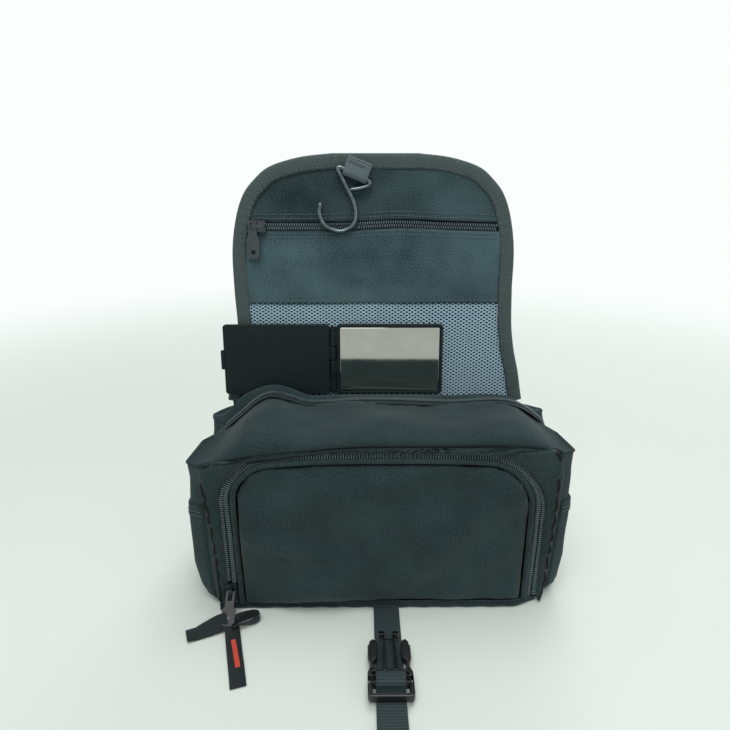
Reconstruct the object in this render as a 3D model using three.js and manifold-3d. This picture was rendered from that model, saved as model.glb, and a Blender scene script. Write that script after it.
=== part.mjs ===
// Hanging toiletry bag, standing open: padded body, fold-over flap, folding mirror, hook and buckled strap.
// Millimetres, +Z up. The origin is the centre of the base's underside and the front faces -Y.
import * as THREE from "three";
import { mergeVertices } from "three/addons/utils/BufferGeometryUtils.js";
import Module from "manifold-3d";

const wasm = await Module();
wasm.setup();

// Cloth and clearances
const cloth = 1.4;
const tape = 0.6;
const seam = 0.3;
const weld = 0.0001;

// Bag body
const frontWidth = 206;
const frontHeight = 110;
const bagDepth = 70;
const cornerRadius = 10;
const topFlare = 9;
const earDepth = 7;
const earShare = 0.75;
const topRise = 6;
const frontSwell = 8;
const leftSwell = 9;
const rightSwell = 6;
const riseDepth = 46;
const crestBack = 59;
const valleyBack = 67;
const valleyDrop = 5.6;
const shoulderDrop = 9;
const shoulderWidth = 28;
const dividerBack = 15;

// Zips: two coils side by side, each on its own tape
const coilWidth = 2.8;
const coilHeight = 1.6;
const coilGap = 0.2;
const tapeWidth = 8;
const zipSlot = 3.3;
const mainZipBack = 51.5;
const zipSideRun = 24;
const chainInset = 8.5;
const chainTopDrop = 6.2;
const chainRadius = 20;

// Front pocket door
const doorPad = 3.2;
const doorInset = 6.5;
const pipingRadius = 1;
const doorHinge = 4.8;
const doorBead = 0.8;
const doorRail = 2;

// Sliders and pulls
const sliderLength = 9;
const sliderWidth = 7.2;
const sliderHeight = 1.8;
const bridgeWidth = 2.2;
const bridgeLength = 8;
const bridgeHeight = 3.4;
const bridgeWall = 1;
const pullLength = 23;
const pullWidth = 8;
const pullThickness = 1.3;
const pullNeckWidth = 5.4;
const pullEye = 4.2;
const pullHoleRadius = 1.5;
const frontSliderHeight = 11.5;
const frontPullLength = 19;
const frontPullTilt = 0.86;
const ribbonWidth = 10;
const ribbon = 0.9;
const ribbonFront = 39;
const ribbonSide = 22;
const ribbonWing = 15;

// Side slip pockets
const pocketHeight = 74;
const pocketStart = 8;
const pocketEnd = 62;
const bindingWidth = 9;

// Flap
const axisBack = 3;
const axisRise = 6.8;
const flapShift = -4.5;
const flapHalf = 92;
const flapHeight = 154.5;
const foldHeight = 61;
const flapLean = THREE.MathUtils.degToRad(8);
const flapBacking = 1.4;
const flapBead = 1.3;
const flapZipHeight = 110.5;
const netThread = 1.1;
const netThickness = 0.8;
const netColumns = 18;
const netRows = 9;

// Hook: bent wire in the flap's plane, and the webbing that carries it
const wire = 1.4;
const hookLength = 40;
const hookAcross = -13.7;
const hookSeat = 142;
const hookTilt = THREE.MathUtils.degToRad(-24);
const hookTabWidth = 11.4;
const hookTabHeight = 8.5;
const webbing = 1.4;

// Strap and buckle
const strapWidth = 16;
const strapAcross = 1.6;
const strapRun = 98;
const strapLift = 0.3;
const buckleWidth = 24.6;
const buckleThickness = 4.8;
const tongueStart = 26.5;
const tongueWidth = 7.4;
const ladderStart = 51.8;
const ladderEnd = 68.2;
const ladderWall = 2.4;
const barStart = 56;
const barEnd = 60.2;
const barWrap = 1.26;
const prongLength = 19.5;
const prongArm = 2.2;
const prongPad = 5.2;
const prongPadLength = 14.6;
const socketLength = 26;
const socketThickness = 9.4;
const socketWall = 1.6;
const socketWindowShares = [0.72, 0.36];
const socketStrap = 36;
const socketDrop = 148;

// Mirror
const leafWidth = 70;
const leafHeight = 47;
const leafThickness = 4.2;
const coverThickness = 3.6;
const leafRadius = 2;
const leafSeat = 1;
const mirrorAcross = -27.8;
const mirrorBack = 3.2;
const glassInset = 3.4;
const glassThickness = 1.1;
const pinRadius = 0.8;
const knuckleRadius = 1.7;
const knuckleLength = 9;
const knuckleStart = 14;
const hingeReach = 2.4;
const catchWidth = 2;
const catchHeight = 13;

const halfFront = frontWidth / 2;
const axisHeight = frontHeight + axisRise;
const halfDepth = bagDepth / 2;
const floorGap = cloth + seam;

const V = (x, y, z) => new THREE.Vector3(x, y, z);
const smooth = (t) => THREE.MathUtils.smoothstep(t, 0, 1);

// A closed mesh's signed volume tells which way its faces point
function outward(geometry) {
  const index = geometry.getIndex();
  const spot = geometry.getAttribute("position");
  const [a, b, c] = [V(), V(), V()];
  let volume = 0;
  for (let i = 0; i < index.count; i += 3) {
    a.fromBufferAttribute(spot, index.getX(i));
    b.fromBufferAttribute(spot, index.getX(i + 1));
    c.fromBufferAttribute(spot, index.getX(i + 2));
    volume += a.dot(b.cross(c));
  }
  if (volume < 0) {
    for (let i = 0; i < index.count; i += 3) {
      const first = index.getX(i);
      index.setX(i, index.getX(i + 1));
      index.setX(i + 1, first);
    }
  }
  return geometry;
}

function fromPoints(points, faces) {
  const geometry = new THREE.BufferGeometry();
  geometry.setAttribute("position", new THREE.Float32BufferAttribute(points.flatMap((p) => p.toArray()), 3));
  geometry.setIndex(faces.flat());
  return outward(geometry);
}

// A closed panel between two surfaces over the unit square
function panel(columns, rows, outer, inner) {
  const points = [];
  const faces = [];
  for (const side of [outer, inner]) {
    for (let j = 0; j <= rows; j++) {
      for (let i = 0; i <= columns; i++) points.push(side(i / columns, j / rows));
    }
  }
  const layer = (columns + 1) * (rows + 1);
  const at = (i, j) => j * (columns + 1) + i;
  for (let j = 0; j < rows; j++) {
    for (let i = 0; i < columns; i++) {
      const [a, b, c, d] = [at(i, j), at(i + 1, j), at(i + 1, j + 1), at(i, j + 1)];
      faces.push([a, b, c], [a, c, d]);
      faces.push([layer + a, layer + c, layer + b], [layer + a, layer + d, layer + c]);
    }
  }
  const rim = [];
  for (let i = 0; i < columns; i++) rim.push(at(i, 0));
  for (let j = 0; j < rows; j++) rim.push(at(columns, j));
  for (let i = columns; i > 0; i--) rim.push(at(i, rows));
  for (let j = rows; j > 0; j--) rim.push(at(0, j));
  rim.forEach((a, k) => {
    const b = rim[(k + 1) % rim.length];
    faces.push([b, a, layer + a], [b, layer + a, layer + b]);
  });
  return fromPoints(points, faces);
}

// A section of [across, up] points carried through frames of { at, across, up }
function sweep(section, frames) {
  const n = section.length;
  const points = frames.flatMap(({ at, across, up }) =>
    section.map(([a, b]) => at.clone().addScaledVector(across, a).addScaledVector(up, b))
  );
  const faces = [];
  for (let k = 0; k + 1 < frames.length; k++) {
    for (let i = 0; i < n; i++) {
      const [a, b] = [k * n + i, k * n + ((i + 1) % n)];
      faces.push([a, b, b + n], [a, b + n, a + n]);
    }
  }
  const last = (frames.length - 1) * n;
  const flat = section.map(([a, b]) => new THREE.Vector2(a, b));
  for (const [a, b, c] of THREE.ShapeUtils.triangulateShape(flat, [])) {
    faces.push([c, b, a], [last + a, last + b, last + c]);
  }
  return fromPoints(points, faces);
}

// Frames along a line of points: up is fixed, across is square to both
function framesAlong(line, up) {
  return line.map((at, k) => {
    const along = line[Math.min(k + 1, line.length - 1)].clone().sub(line[Math.max(k - 1, 0)]).normalize();
    const across = along.clone().cross(up).normalize();
    return { at, across, up: across.clone().cross(along) };
  });
}

// A flat band's section from its four sides
const strip = (low, high, down, top) => [[low, down], [high, down], [high, top], [low, top]];

function shapeOf(points) {
  return new THREE.Shape(points.map(([x, y]) => new THREE.Vector2(x, y)));
}

// Points round a circle
function round(radius, count, x = 0, y = 0) {
  return Array.from({ length: count }, (_, k) => {
    const a = (2 * Math.PI * k) / count;
    return new THREE.Vector2(x + radius * Math.cos(a), y + radius * Math.sin(a));
  });
}

function roundedBox(x0, x1, y0, y1, r) {
  const s = new THREE.Shape();
  s.moveTo(x0 + r, y0);
  s.lineTo(x1 - r, y0);
  s.quadraticCurveTo(x1, y0, x1, y0 + r);
  s.lineTo(x1, y1 - r);
  s.quadraticCurveTo(x1, y1, x1 - r, y1);
  s.lineTo(x0 + r, y1);
  s.quadraticCurveTo(x0, y1, x0, y1 - r);
  s.lineTo(x0, y0 + r);
  s.quadraticCurveTo(x0, y0, x0 + r, y0);
  return s;
}

// A plate cut from an outline: standing plates face -Y with y as their front, lying ones have z as their floor
function standing(shape, front, thickness, steps = 3) {
  const g = new THREE.ExtrudeGeometry(shape, { depth: thickness, bevelEnabled: false, curveSegments: steps });
  return g.rotateX(Math.PI / 2).translate(0, front + thickness, 0);
}

function lying(shape, floor, thickness, steps = 3) {
  const g = new THREE.ExtrudeGeometry(shape, { depth: thickness, bevelEnabled: false, curveSegments: steps });
  return g.translate(0, 0, floor);
}

// A profile of [y, z] points drawn out along X
function alongX(profile, x0, x1) {
  return sweep(profile, [
    { at: V(x0, 0, 0), across: V(0, 1, 0), up: V(0, 0, 1) },
    { at: V(x1, 0, 0), across: V(0, 1, 0), up: V(0, 0, 1) },
  ]);
}

function rod(radius, from, to, sides = 8) {
  const g = new THREE.CylinderGeometry(radius, radius, from.distanceTo(to), sides);
  const along = to.clone().sub(from).normalize();
  g.applyQuaternion(new THREE.Quaternion().setFromUnitVectors(V(0, 1, 0), along));
  return g.translate(...from.clone().add(to).multiplyScalar(0.5).toArray());
}

function block(x0, x1, y0, y1, z0, z1) {
  return new THREE.BoxGeometry(x1 - x0, y1 - y0, z1 - z0).translate((x0 + x1) / 2, (y0 + y1) / 2, (z0 + z1) / 2);
}

// Joining and cutting
function clean(geometry) {
  const g = geometry.clone();
  g.deleteAttribute("normal");
  g.deleteAttribute("uv");
  return mergeVertices(g, weld);
}

function solid(geometry) {
  const g = clean(geometry);
  return new wasm.Manifold(new wasm.Mesh({
    numProp: 3,
    vertProperties: new Float32Array(g.getAttribute("position").array),
    triVerts: new Uint32Array(g.getIndex().array),
  }));
}

function geometryOf(body) {
  const mesh = body.getMesh();
  const g = new THREE.BufferGeometry();
  g.setAttribute("position", new THREE.BufferAttribute(new Float32Array(mesh.vertProperties), 3));
  g.setIndex(new THREE.BufferAttribute(new Uint32Array(mesh.triVerts), 1));
  return g;
}

const joined = (...parts) => geometryOf(parts.map(solid).reduce((a, b) => a.add(b)));
const less = (whole, ...cuts) => geometryOf(cuts.map(solid).reduce((a, b) => a.subtract(b), solid(whole)));

const bag = new THREE.Group();
const finish = (color, roughness, metalness = 0) => new THREE.MeshStandardMaterial({ color, roughness, metalness });
const nylon = finish("#20292b", 0.85);
const trim = finish("#171c1e", 0.8);
const net = finish("#8fa3ab", 0.7);
const web = finish("#1b2123", 0.75);
const blackMetal = finish("#101213", 0.35, 0.8);
const plastic = finish("#0d0f10", 0.4);
const matte = finish("#15181a", 0.6);
const silver = finish("#c9d0cf", 0.05, 1);

function add(parent, name, geometry, material) {
  const mesh = new THREE.Mesh(geometry, material);
  mesh.name = name;
  parent.add(mesh);
  return mesh;
}

// Outer half-width of the bag, some way behind its front face and above its base
function wallHalf(back, z) {
  const low = cornerRadius - Math.min(z, cornerRadius);
  const corner = halfFront - cornerRadius + Math.sqrt(cornerRadius ** 2 - low ** 2);
  const reach = earShare * smooth(back / earDepth) + (1 - earShare) * (back / bagDepth);
  return corner + topFlare * smooth(z / frontHeight) * reach;
}

// How far a soft side wall bulges beyond its corners: all of the left one, and the right one in front of the zip's end
function wallSwell(side, back, z) {
  const reach = side < 0 ? bagDepth : mainZipBack - zipSlot;
  const along = Math.sin(Math.PI * Math.min(Math.max(back / reach, 0), 1)) ** 0.6;
  const up = Math.sin(Math.PI * Math.min(z / frontHeight, 1)) ** 0.7;
  return (side < 0 ? leftSwell : rightSwell) * along * up;
}

// Height of the bag's top surface
function topHeight(x, back) {
  const rise = topRise * Math.sin((Math.PI / 2) * Math.min(back / riseDepth, 1));
  const valley = valleyDrop * smooth((back - crestBack) / (valleyBack - crestBack));
  const edge = wallHalf(back, frontHeight);
  const shoulder = shoulderDrop * smooth((Math.abs(x) - edge + shoulderWidth) / shoulderWidth);
  return frontHeight + rise - valley - shoulder * Math.min(back / riseDepth, 1);
}

// Steps that the top panels and the walls under them share
const acrossSteps = 16;
const frontSteps = 7;
const valleySteps = 4;
const spread = (from, to, count) => Array.from({ length: count + 1 }, (_, k) => from + ((to - from) * k) / count);
const pick = (list, t) => list[Math.round(t * (list.length - 1))];
const frontBacks = spread(0, mainZipBack - zipSlot, frontSteps);
const rearBacks = [mainZipBack + zipSlot, ...spread(crestBack, valleyBack, valleySteps), bagDepth];

// Base, back and side walls
add(bag, "base_panel", lying(roundedBox(
  -(halfFront - cornerRadius / 2), halfFront - cornerRadius / 2, -halfDepth, halfDepth, cornerRadius / 2
), 0, cloth), nylon);

const wallTop = (x, back) => topHeight(x, back) - cloth - seam;

// An upright wall across the bag, its outline following the sides and the top
function crossWall(outside, back, thickness, inset, top) {
  const point = (u, v, y) => {
    const edge = wallHalf(back, frontHeight) - inset;
    const z = floorGap + v * (top(u * edge) - floorGap);
    return V(u * (wallHalf(back, z) - inset), y, z);
  };
  const y = outside - halfDepth;
  return panel(
    acrossSteps, 6,
    (a, b) => point(2 * a - 1, b, y),
    (a, b) => point(2 * a - 1, b, y + thickness)
  );
}

add(bag, "back_panel", crossWall(
  bagDepth - cloth, bagDepth, cloth, 0, (x) => wallTop(x, bagDepth)
), nylon);
add(bag, "pocket_divider", crossWall(
  dividerBack, dividerBack, cloth, cloth + seam + tape, (x) => wallTop(x, dividerBack) - seam
), nylon);

function sideWall(side) {
  const start = cloth + seam;
  const end = bagDepth - cloth - seam;
  const backs = [start, ...frontBacks.slice(1), ...rearBacks.slice(0, -1), end];
  const point = (u, v, inset) => {
    const back = pick(backs, u);
    const top = wallTop(wallHalf(back, frontHeight), back);
    const z = pick([...spread(floorGap, cornerRadius, 3), ...spread(cornerRadius, top, 5).slice(1)], v);
    return V(side * (wallHalf(back, z) + wallSwell(side, back, z) - inset), back - halfDepth, z);
  };
  return panel(backs.length - 1, 8, (a, b) => point(a, b, 0), (a, b) => point(a, b, cloth));
}

// A slip pocket lies on the side wall, with a bound mouth
function sidePocket(side, low, high, lift, thickness) {
  const point = (u, v, out) => {
    const back = pocketStart + u * (pocketEnd - pocketStart);
    const z = low + v * (high - low);
    return V(side * (wallHalf(back, z) + wallSwell(side, back, z) + out), back - halfDepth, z);
  };
  return panel(6, 6, (a, b) => point(a, b, lift + thickness), (a, b) => point(a, b, lift));
}

for (const [name, side] of [["left", -1], ["right", 1]]) {
  add(bag, name + "_side_panel", sideWall(side), nylon);
  const lift = 3 * seam;
  add(bag, name + "_slip_pocket", sidePocket(side, cornerRadius, pocketHeight - bindingWidth - seam, lift, tape), nylon);
  add(bag, name + "_pocket_binding", sidePocket(side, pocketHeight - bindingWidth, pocketHeight, lift, 2 * tape), trim);
}

// Front face: the U zip's line, measured along the middle of its two coils
const chainHalf = halfFront - chainInset;
const chainTop = frontHeight - chainTopDrop;
const frameTop = frontHeight - cloth - seam;

function archPoints(offset, foot, steps = 6, leftFoot = foot) {
  const half = chainHalf + offset;
  const top = chainTop + offset;
  const r = chainRadius + offset;
  const points = [[-half, leftFoot]];
  for (let k = 0; k <= steps; k++) {
    const a = (Math.PI / 2) * (k / steps);
    points.push([-half + r - r * Math.cos(a), top - r + r * Math.sin(a)]);
  }
  for (let k = steps; k >= 0; k--) {
    const a = (Math.PI / 2) * (k / steps);
    points.push([half - r + r * Math.cos(a), top - r + r * Math.sin(a)]);
  }
  points.push([half, foot]);
  return points;
}

// A band that follows the arch between two offsets
function archBand(near, far, foot, front, thickness, leftFoot = foot) {
  const outer = archPoints(far, foot, 6, leftFoot);
  const inner = archPoints(near, foot, 6, leftFoot).reverse();
  return standing(shapeOf([...outer, ...inner]), front - halfDepth, thickness);
}

const railTop = floorGap + doorRail;
const frameHalf = (z) => wallHalf(0, z);
const frameOutline = [];
for (let k = 0; k <= 6; k++) {
  const z = floorGap + (cornerRadius - floorGap) * (k / 6);
  frameOutline.push([frameHalf(z), z]);
}
frameOutline.push([frameHalf(frameTop), frameTop]);
const frameShape = shapeOf([...frameOutline, ...frameOutline.map(([x, z]) => [-x, z]).reverse()]);
frameShape.holes.push(new THREE.Path(archPoints(zipSlot, railTop).map(([x, z]) => new THREE.Vector2(x, z))));
add(bag, "front_frame", standing(frameShape, -halfDepth, cloth), nylon);

const tapeFront = cloth + seam;
const coilFront = tapeFront - seam / 2 - coilHeight;
const zipFoot = railTop + seam;
add(bag, "front_outer_tape", archBand(coilGap, frameTop - chainTop, zipFoot, tapeFront, tape), trim);
add(bag, "front_outer_coil", archBand(coilGap / 2, coilWidth, zipFoot, coilFront, coilHeight), trim);

// The pocket door turns about its sewn lower edge
const door = new THREE.Group();
bag.add(door);
const doorY = -halfDepth - tape;
const doorBack = -halfDepth + cloth;
const doorHalf = chainHalf - doorInset;
const doorTop = chainTop - doorInset;
const doorRadius = chainRadius - doorInset;

function doorEdge(z) {
  const up = Math.max(z - (doorTop - doorRadius), 0);
  return doorHalf - doorRadius + Math.sqrt(Math.max(doorRadius ** 2 - up ** 2, 0));
}

const padShare = (t) => Math.sqrt(Math.max(1 - Math.abs(t) ** 4, 0));
const doorPoint = (u, v, pad) => {
  const z = doorHinge + v * (doorTop - doorHinge);
  const x = (2 * u - 1) * doorEdge(Math.min(z, doorTop - seam));
  return V(x, doorY - pad * padShare(2 * u - 1) * padShare(2 * v - 1), z);
};
const doorPanel = panel(
  12, 10,
  (a, b) => doorPoint(a, b, doorPad),
  (a, b) => V(doorPoint(a, b, 0).x, doorBack, doorPoint(a, b, 0).z)
);
const doorAxisY = doorBack - doorBead;
add(door, "front_door", doorPanel, nylon);
const pipingOffset = zipSlot + 2.5 * seam + pipingRadius;
const pipingLine = archPoints(-pipingOffset, zipFoot + 2 * doorBead, 5).map(([x, z]) => V(x, doorY, z));
const pipingSection = round(pipingRadius, 6).map((p) => p.toArray());
add(door, "door_piping", sweep(pipingSection, framesAlong(pipingLine, V(0, -1, 0))), trim);
// The door's own tape and coil start above the slider, so the door opens past it
const sliderTop = frontSliderHeight + sliderLength + 3 * seam;
add(door, "front_inner_tape", archBand(-tapeWidth, -coilGap, zipFoot + seam, tapeFront, tape, sliderTop), trim);
add(door, "front_inner_coil", archBand(-coilWidth, -coilGap / 2, zipFoot + seam, coilFront, coilHeight, sliderTop), trim);

// Top of the bag: a front panel that opens forward, and a rear panel, with the main zip between them
const topPoint = (u, back, down) => {
  const x = (2 * u - 1) * wallHalf(back, frontHeight);
  const along = Math.sin(Math.PI * Math.min(back / (mainZipBack - zipSlot), 1));
  const filled = Math.max(along, 0) ** 0.6 * (1 - (2 * u - 1) ** 4);
  return V(x, back - halfDepth, topHeight(x, back) + frontSwell * filled - down);
};

function topPanel(backs) {
  return panel(
    acrossSteps, backs.length - 1,
    (a, b) => topPoint(a, pick(backs, b), 0),
    (a, b) => topPoint(a, pick(backs, b), cloth)
  );
}

const mouth = new THREE.Group();
bag.add(mouth);
add(mouth, "top_front_panel", topPanel(frontBacks), nylon);
add(bag, "top_rear_panel", topPanel(rearBacks), nylon);

// The main zip crosses the top and runs a little way down the right side
function mainZip(near, far, down, top, sideRun) {
  const line = [];
  const edge = wallHalf(mainZipBack, frontHeight);
  const steps = 20;
  const begin = -(edge - cornerRadius / 2);
  for (let k = 0; k <= steps; k++) {
    const x = begin + (edge - cornerRadius / 4 - begin) * (k / steps);
    line.push(V(x, 0, topHeight(x, mainZipBack)));
  }
  if (sideRun) {
    const out = cloth + tape;
    for (const z of spread(topHeight(edge, mainZipBack), topHeight(edge, mainZipBack) - sideRun, 3)) {
      line.push(V(wallHalf(mainZipBack, z) + out, 0, z));
    }
  }
  line.forEach((p) => p.setY(mainZipBack - halfDepth));
  return sweep(strip(near, far, down, top), framesAlong(line, V(0, -1, 0)).map(({ at, across, up }) =>
    ({ at, across: up.negate(), up: across })));
}

const coilDown = -coilHeight + tape;
add(bag, "main_rear_coil", mainZip(coilGap / 2, coilWidth, coilDown, tape, zipSideRun), trim);
add(mouth, "main_front_coil", mainZip(-coilWidth, -coilGap / 2, coilDown, tape, 0), trim);

// The ridge that the flap is sewn to
const ridgeTop = axisHeight - flapBead - seam - coilGap / 2;
const axisY = halfDepth + axisBack;
const ridgeProfile = [
  [halfDepth + seam, ridgeTop - bindingWidth - cloth],
  [axisY + cloth / 2, ridgeTop - bindingWidth - cloth],
  [axisY + cloth / 4, ridgeTop - cloth / 2],
  [axisY - cloth / 2, ridgeTop],
  [axisY - cloth, ridgeTop - cloth],
  [halfDepth + seam, ridgeTop - bindingWidth / 2],
];
add(bag, "flap_seam_ridge", alongX(ridgeProfile, flapShift - flapHalf, flapShift + flapHalf), trim);

// A slider: plate, bridge and an open eye for the pull. It runs along +Z and faces -Y, its foot on y = 0
function sliderShape() {
  const plate = standing(roundedBox(-sliderWidth / 2, sliderWidth / 2, 0, sliderLength, cloth), -sliderHeight, sliderHeight);
  const low = (sliderLength - bridgeLength) / 2;
  const arch = block(-bridgeWidth / 2, bridgeWidth / 2, -sliderHeight - bridgeHeight, -sliderHeight / 2, low, low + bridgeLength);
  const eye = block(
    -sliderWidth, sliderWidth, -sliderHeight - bridgeHeight + bridgeWall, -sliderHeight,
    low + bridgeWall, low + bridgeLength - bridgeWall
  );
  return joined(plate, less(arch, eye));
}

// A pull hangs along -Z from its eye bar, which lies on the origin along X
function pullShape(length) {
  const half = pullWidth / 2;
  const neck = pullNeckWidth / 2;
  const outline = shapeOf([
    [-neck, pullThickness / 2], [neck, pullThickness / 2], [neck, -pullEye * 2], [half, -length / 2],
    [half, -length + half / 2], [half / 2, -length], [-half / 2, -length], [-half, -length + half / 2],
    [-half, -length / 2], [-neck, -pullEye * 2],
  ]);
  const wall = pullThickness / 2;
  const eye = block(-neck + pullThickness, neck - pullThickness, -pullThickness, pullThickness, -wall - pullEye, -wall);
  const low = -length + half;
  const hole = rod(pullHoleRadius, V(0, -pullThickness, low), V(0, pullThickness, low));
  return less(standing(outline, -wall, pullThickness), eye, hole);
}

const eyeUp = sliderLength / 2;
const eyeOut = sliderHeight + (bridgeHeight - bridgeWall) / 2;

// Front slider, with the ribbon threaded through its pull
const frontSlider = new THREE.Group();
frontSlider.position.set(-chainHalf, -halfDepth - seam - tape, frontSliderHeight);
bag.add(frontSlider);
add(frontSlider, "front_slider", sliderShape(), blackMetal);
const frontPull = new THREE.Group();
frontPull.position.set(0, -eyeOut, eyeUp);
frontSlider.add(frontPull);
const frontTab = add(frontPull, "front_pull_tab", pullShape(frontPullLength), blackMetal);
frontTab.rotation.x = -frontPullTilt;

// Ribbons lie on the table in front of the pull
const tabEndY = frontSlider.position.y - eyeOut - frontPullLength * Math.sin(frontPullTilt);
const ribbonRoot = V(-chainHalf, tabEndY + ribbon, 0);

function flatRibbon(length, heading, floor, start) {
  const shape = shapeOf([
    [start, -ribbonWidth / 2], [length, -ribbonWidth / 2], [length, ribbonWidth / 2], [start, ribbonWidth / 2],
  ]);
  return lying(shape, floor, ribbon).rotateZ(heading).translate(ribbonRoot.x, ribbonRoot.y, 0);
}

const frontHeading = THREE.MathUtils.degToRad(-76);
const sideHeading = THREE.MathUtils.degToRad(204);
const wingHeading = THREE.MathUtils.degToRad(8);
add(bag, "pull_ribbon_front", flatRibbon(ribbonFront, frontHeading, seam, ribbonWidth / 4), web);
add(bag, "pull_ribbon_side", flatRibbon(ribbonSide, sideHeading, 2 * seam + ribbon, 0), web);
const wing = shapeOf([[0, -ribbonWidth / 4], [ribbonWing, -ribbon], [ribbonWing, ribbon], [0, ribbonWidth / 4]]);
add(bag, "pull_ribbon_loop", lying(wing, 2 * seam + ribbon, ribbon)
  .rotateZ(wingHeading).translate(ribbonRoot.x + ribbonWidth / 2, ribbonRoot.y, 0), web);

// Main slider on the right side, at the end of its zip
const mainEndZ = topHeight(wallHalf(mainZipBack, frontHeight), mainZipBack) - zipSideRun;
const mainSlider = new THREE.Group();
mainSlider.position.set(
  wallHalf(mainZipBack, mainEndZ + sliderLength) + cloth + 2 * tape + 2 * seam, mainZipBack - halfDepth, mainEndZ
);
mainSlider.rotation.z = Math.PI / 2;
bag.add(mainSlider);
add(mainSlider, "main_slider", sliderShape(), blackMetal);
add(mainSlider, "main_pull_tab", pullShape(pullLength), blackMetal).position.set(0, -eyeOut, eyeUp);

// Flap, built flat in its own plane: x across, z up from its axis, front towards -y
const flap = new THREE.Group();
flap.position.set(0, axisY, axisHeight);
flap.rotation.x = -flapLean;
bag.add(flap);

// Half-widths of the flap at rising heights, as shares of its half-width and height
const flapShares = [
  [0, 1.08], [0.1, 1.05], [0.2, 1.01], [0.3, 0.99], [0.45, 1], [0.62, 1], [0.75, 0.965],
  [0.84, 0.91], [0.9, 0.83], [0.95, 0.72], [0.985, 0.52], [1, 0.3],
];
const flapCurve = new THREE.SplineCurve(flapShares.map(([h, w]) => new THREE.Vector2(w * flapHalf, h * flapHeight)));
const flapEdge = flapCurve.getPoints(24).map((p) => [p.x, p.y]);

// The flap's edge between two heights, moved inwards
function flapSide(inset, low, high) {
  return flapEdge
    .map(([x, z], k) => {
      const before = flapEdge[Math.max(k - 1, 0)];
      const after = flapEdge[Math.min(k + 1, flapEdge.length - 1)];
      const along = new THREE.Vector2(after[0] - before[0], after[1] - before[1]).normalize();
      return [x - along.y * inset, z + along.x * inset];
    })
    .filter(([, z]) => z > low && z < high);
}

function edgeAt(inset, height) {
  const side = flapSide(inset, -Infinity, Infinity);
  const k = Math.max(side.findIndex(([, z]) => z >= height), 1);
  const [[x0, z0], [x1, z1]] = [side[k - 1], side[k]];
  return x0 + ((x1 - x0) * (height - z0)) / (z1 - z0);
}

function flapShape(inset, low, high) {
  const right = [[edgeAt(inset, low), low], ...flapSide(inset, low + seam, high - seam)];
  if (high < flapHeight - inset - seam) right.push([edgeAt(inset, high), high]);
  return shapeOf([
    ...right.map(([x, z]) => [flapShift + x, z]),
    ...right.map(([x, z]) => [flapShift - x, z]).reverse(),
  ]);
}

const half = flapBacking / 2;
const layerFront = -half - seam - flapBacking;
const bindFront = layerFront - seam - tape;
const bindBack = half + seam + tape;
const foldLow = foldHeight - seam / 2;
const foldHigh = foldHeight + seam / 2;

const beadProfile = [];
for (let k = 0; k <= 8; k++) {
  const a = Math.PI + (Math.PI * k) / 8;
  beadProfile.push([flapBead * Math.cos(a), flapBead * Math.sin(a)]);
}
const bottomHalf = flapShares[1][1] * flapHalf - bindingWidth;
const bead = alongX(beadProfile, flapShift - bottomHalf, flapShift + bottomHalf);
const lowerBacking = standing(flapShape(seam + tape, -seam, foldLow), -half, flapBacking);
add(flap, "flap_lower_backing", joined(lowerBacking, bead), nylon);

// A binding folded over the cloth's edge: a channel section carried round the flap
const channel = [
  [0, bindFront], [bindingWidth, bindFront], [bindingWidth, bindFront + tape], [tape, bindFront + tape],
  [tape, bindBack - tape], [bindingWidth, bindBack - tape], [bindingWidth, bindBack], [0, bindBack],
];

function boundEdge(points) {
  const frames = points.map(([x, z], k) => {
    const before = points[Math.max(k - 1, 0)];
    const after = points[Math.min(k + 1, points.length - 1)];
    const along = V(after[0] - before[0], 0, after[1] - before[1]).normalize();
    return { at: V(flapShift + x, 0, z), across: V(-along.z, 0, along.x), up: V(0, 1, 0) };
  });
  return sweep(channel, frames);
}

const lowerSide = [[edgeAt(0, 2 * cloth), 2 * cloth], ...flapSide(0, 3 * cloth, foldLow - cloth), [edgeAt(0, foldLow), foldLow]];
add(flap, "flap_lower_binding_right", boundEdge(lowerSide), trim);
add(flap, "flap_lower_binding_left", boundEdge(lowerSide.map(([x, z]) => [-x, z]).reverse()), trim);

// Net pocket: staggered rows of lozenge gaps in a light sheet
const netLow = 4 * cloth;
const netInset = bindingWidth + seam;
const netShape = flapShape(netInset, netLow, foldLow - seam);
const netHalf = edgeAt(netInset, foldHeight / 2) - 2 * netThread;
const columnStep = (2 * netHalf) / netColumns;
const rowStep = (foldLow - netLow - 4 * netThread) / netRows;
for (let j = 0; j < netRows; j++) {
  const shift = (j % 2) / 2;
  for (let i = 0; i + shift * 2 < netColumns; i++) {
    const x = flapShift - netHalf + (i + 0.5 + shift) * columnStep;
    const z = netLow + 2 * netThread + (j + 0.5) * rowStep;
    const [a, b] = [(columnStep - netThread) / 2, (rowStep - netThread) / 2];
    netShape.holes.push(new THREE.Path([[x - a, z], [x, z - b], [x + a, z], [x, z + b]]
      .map(([p, q]) => new THREE.Vector2(p, q))));
  }
}
add(flap, "net_pocket", standing(netShape, -half - seam - netThickness, netThickness), net);

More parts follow.
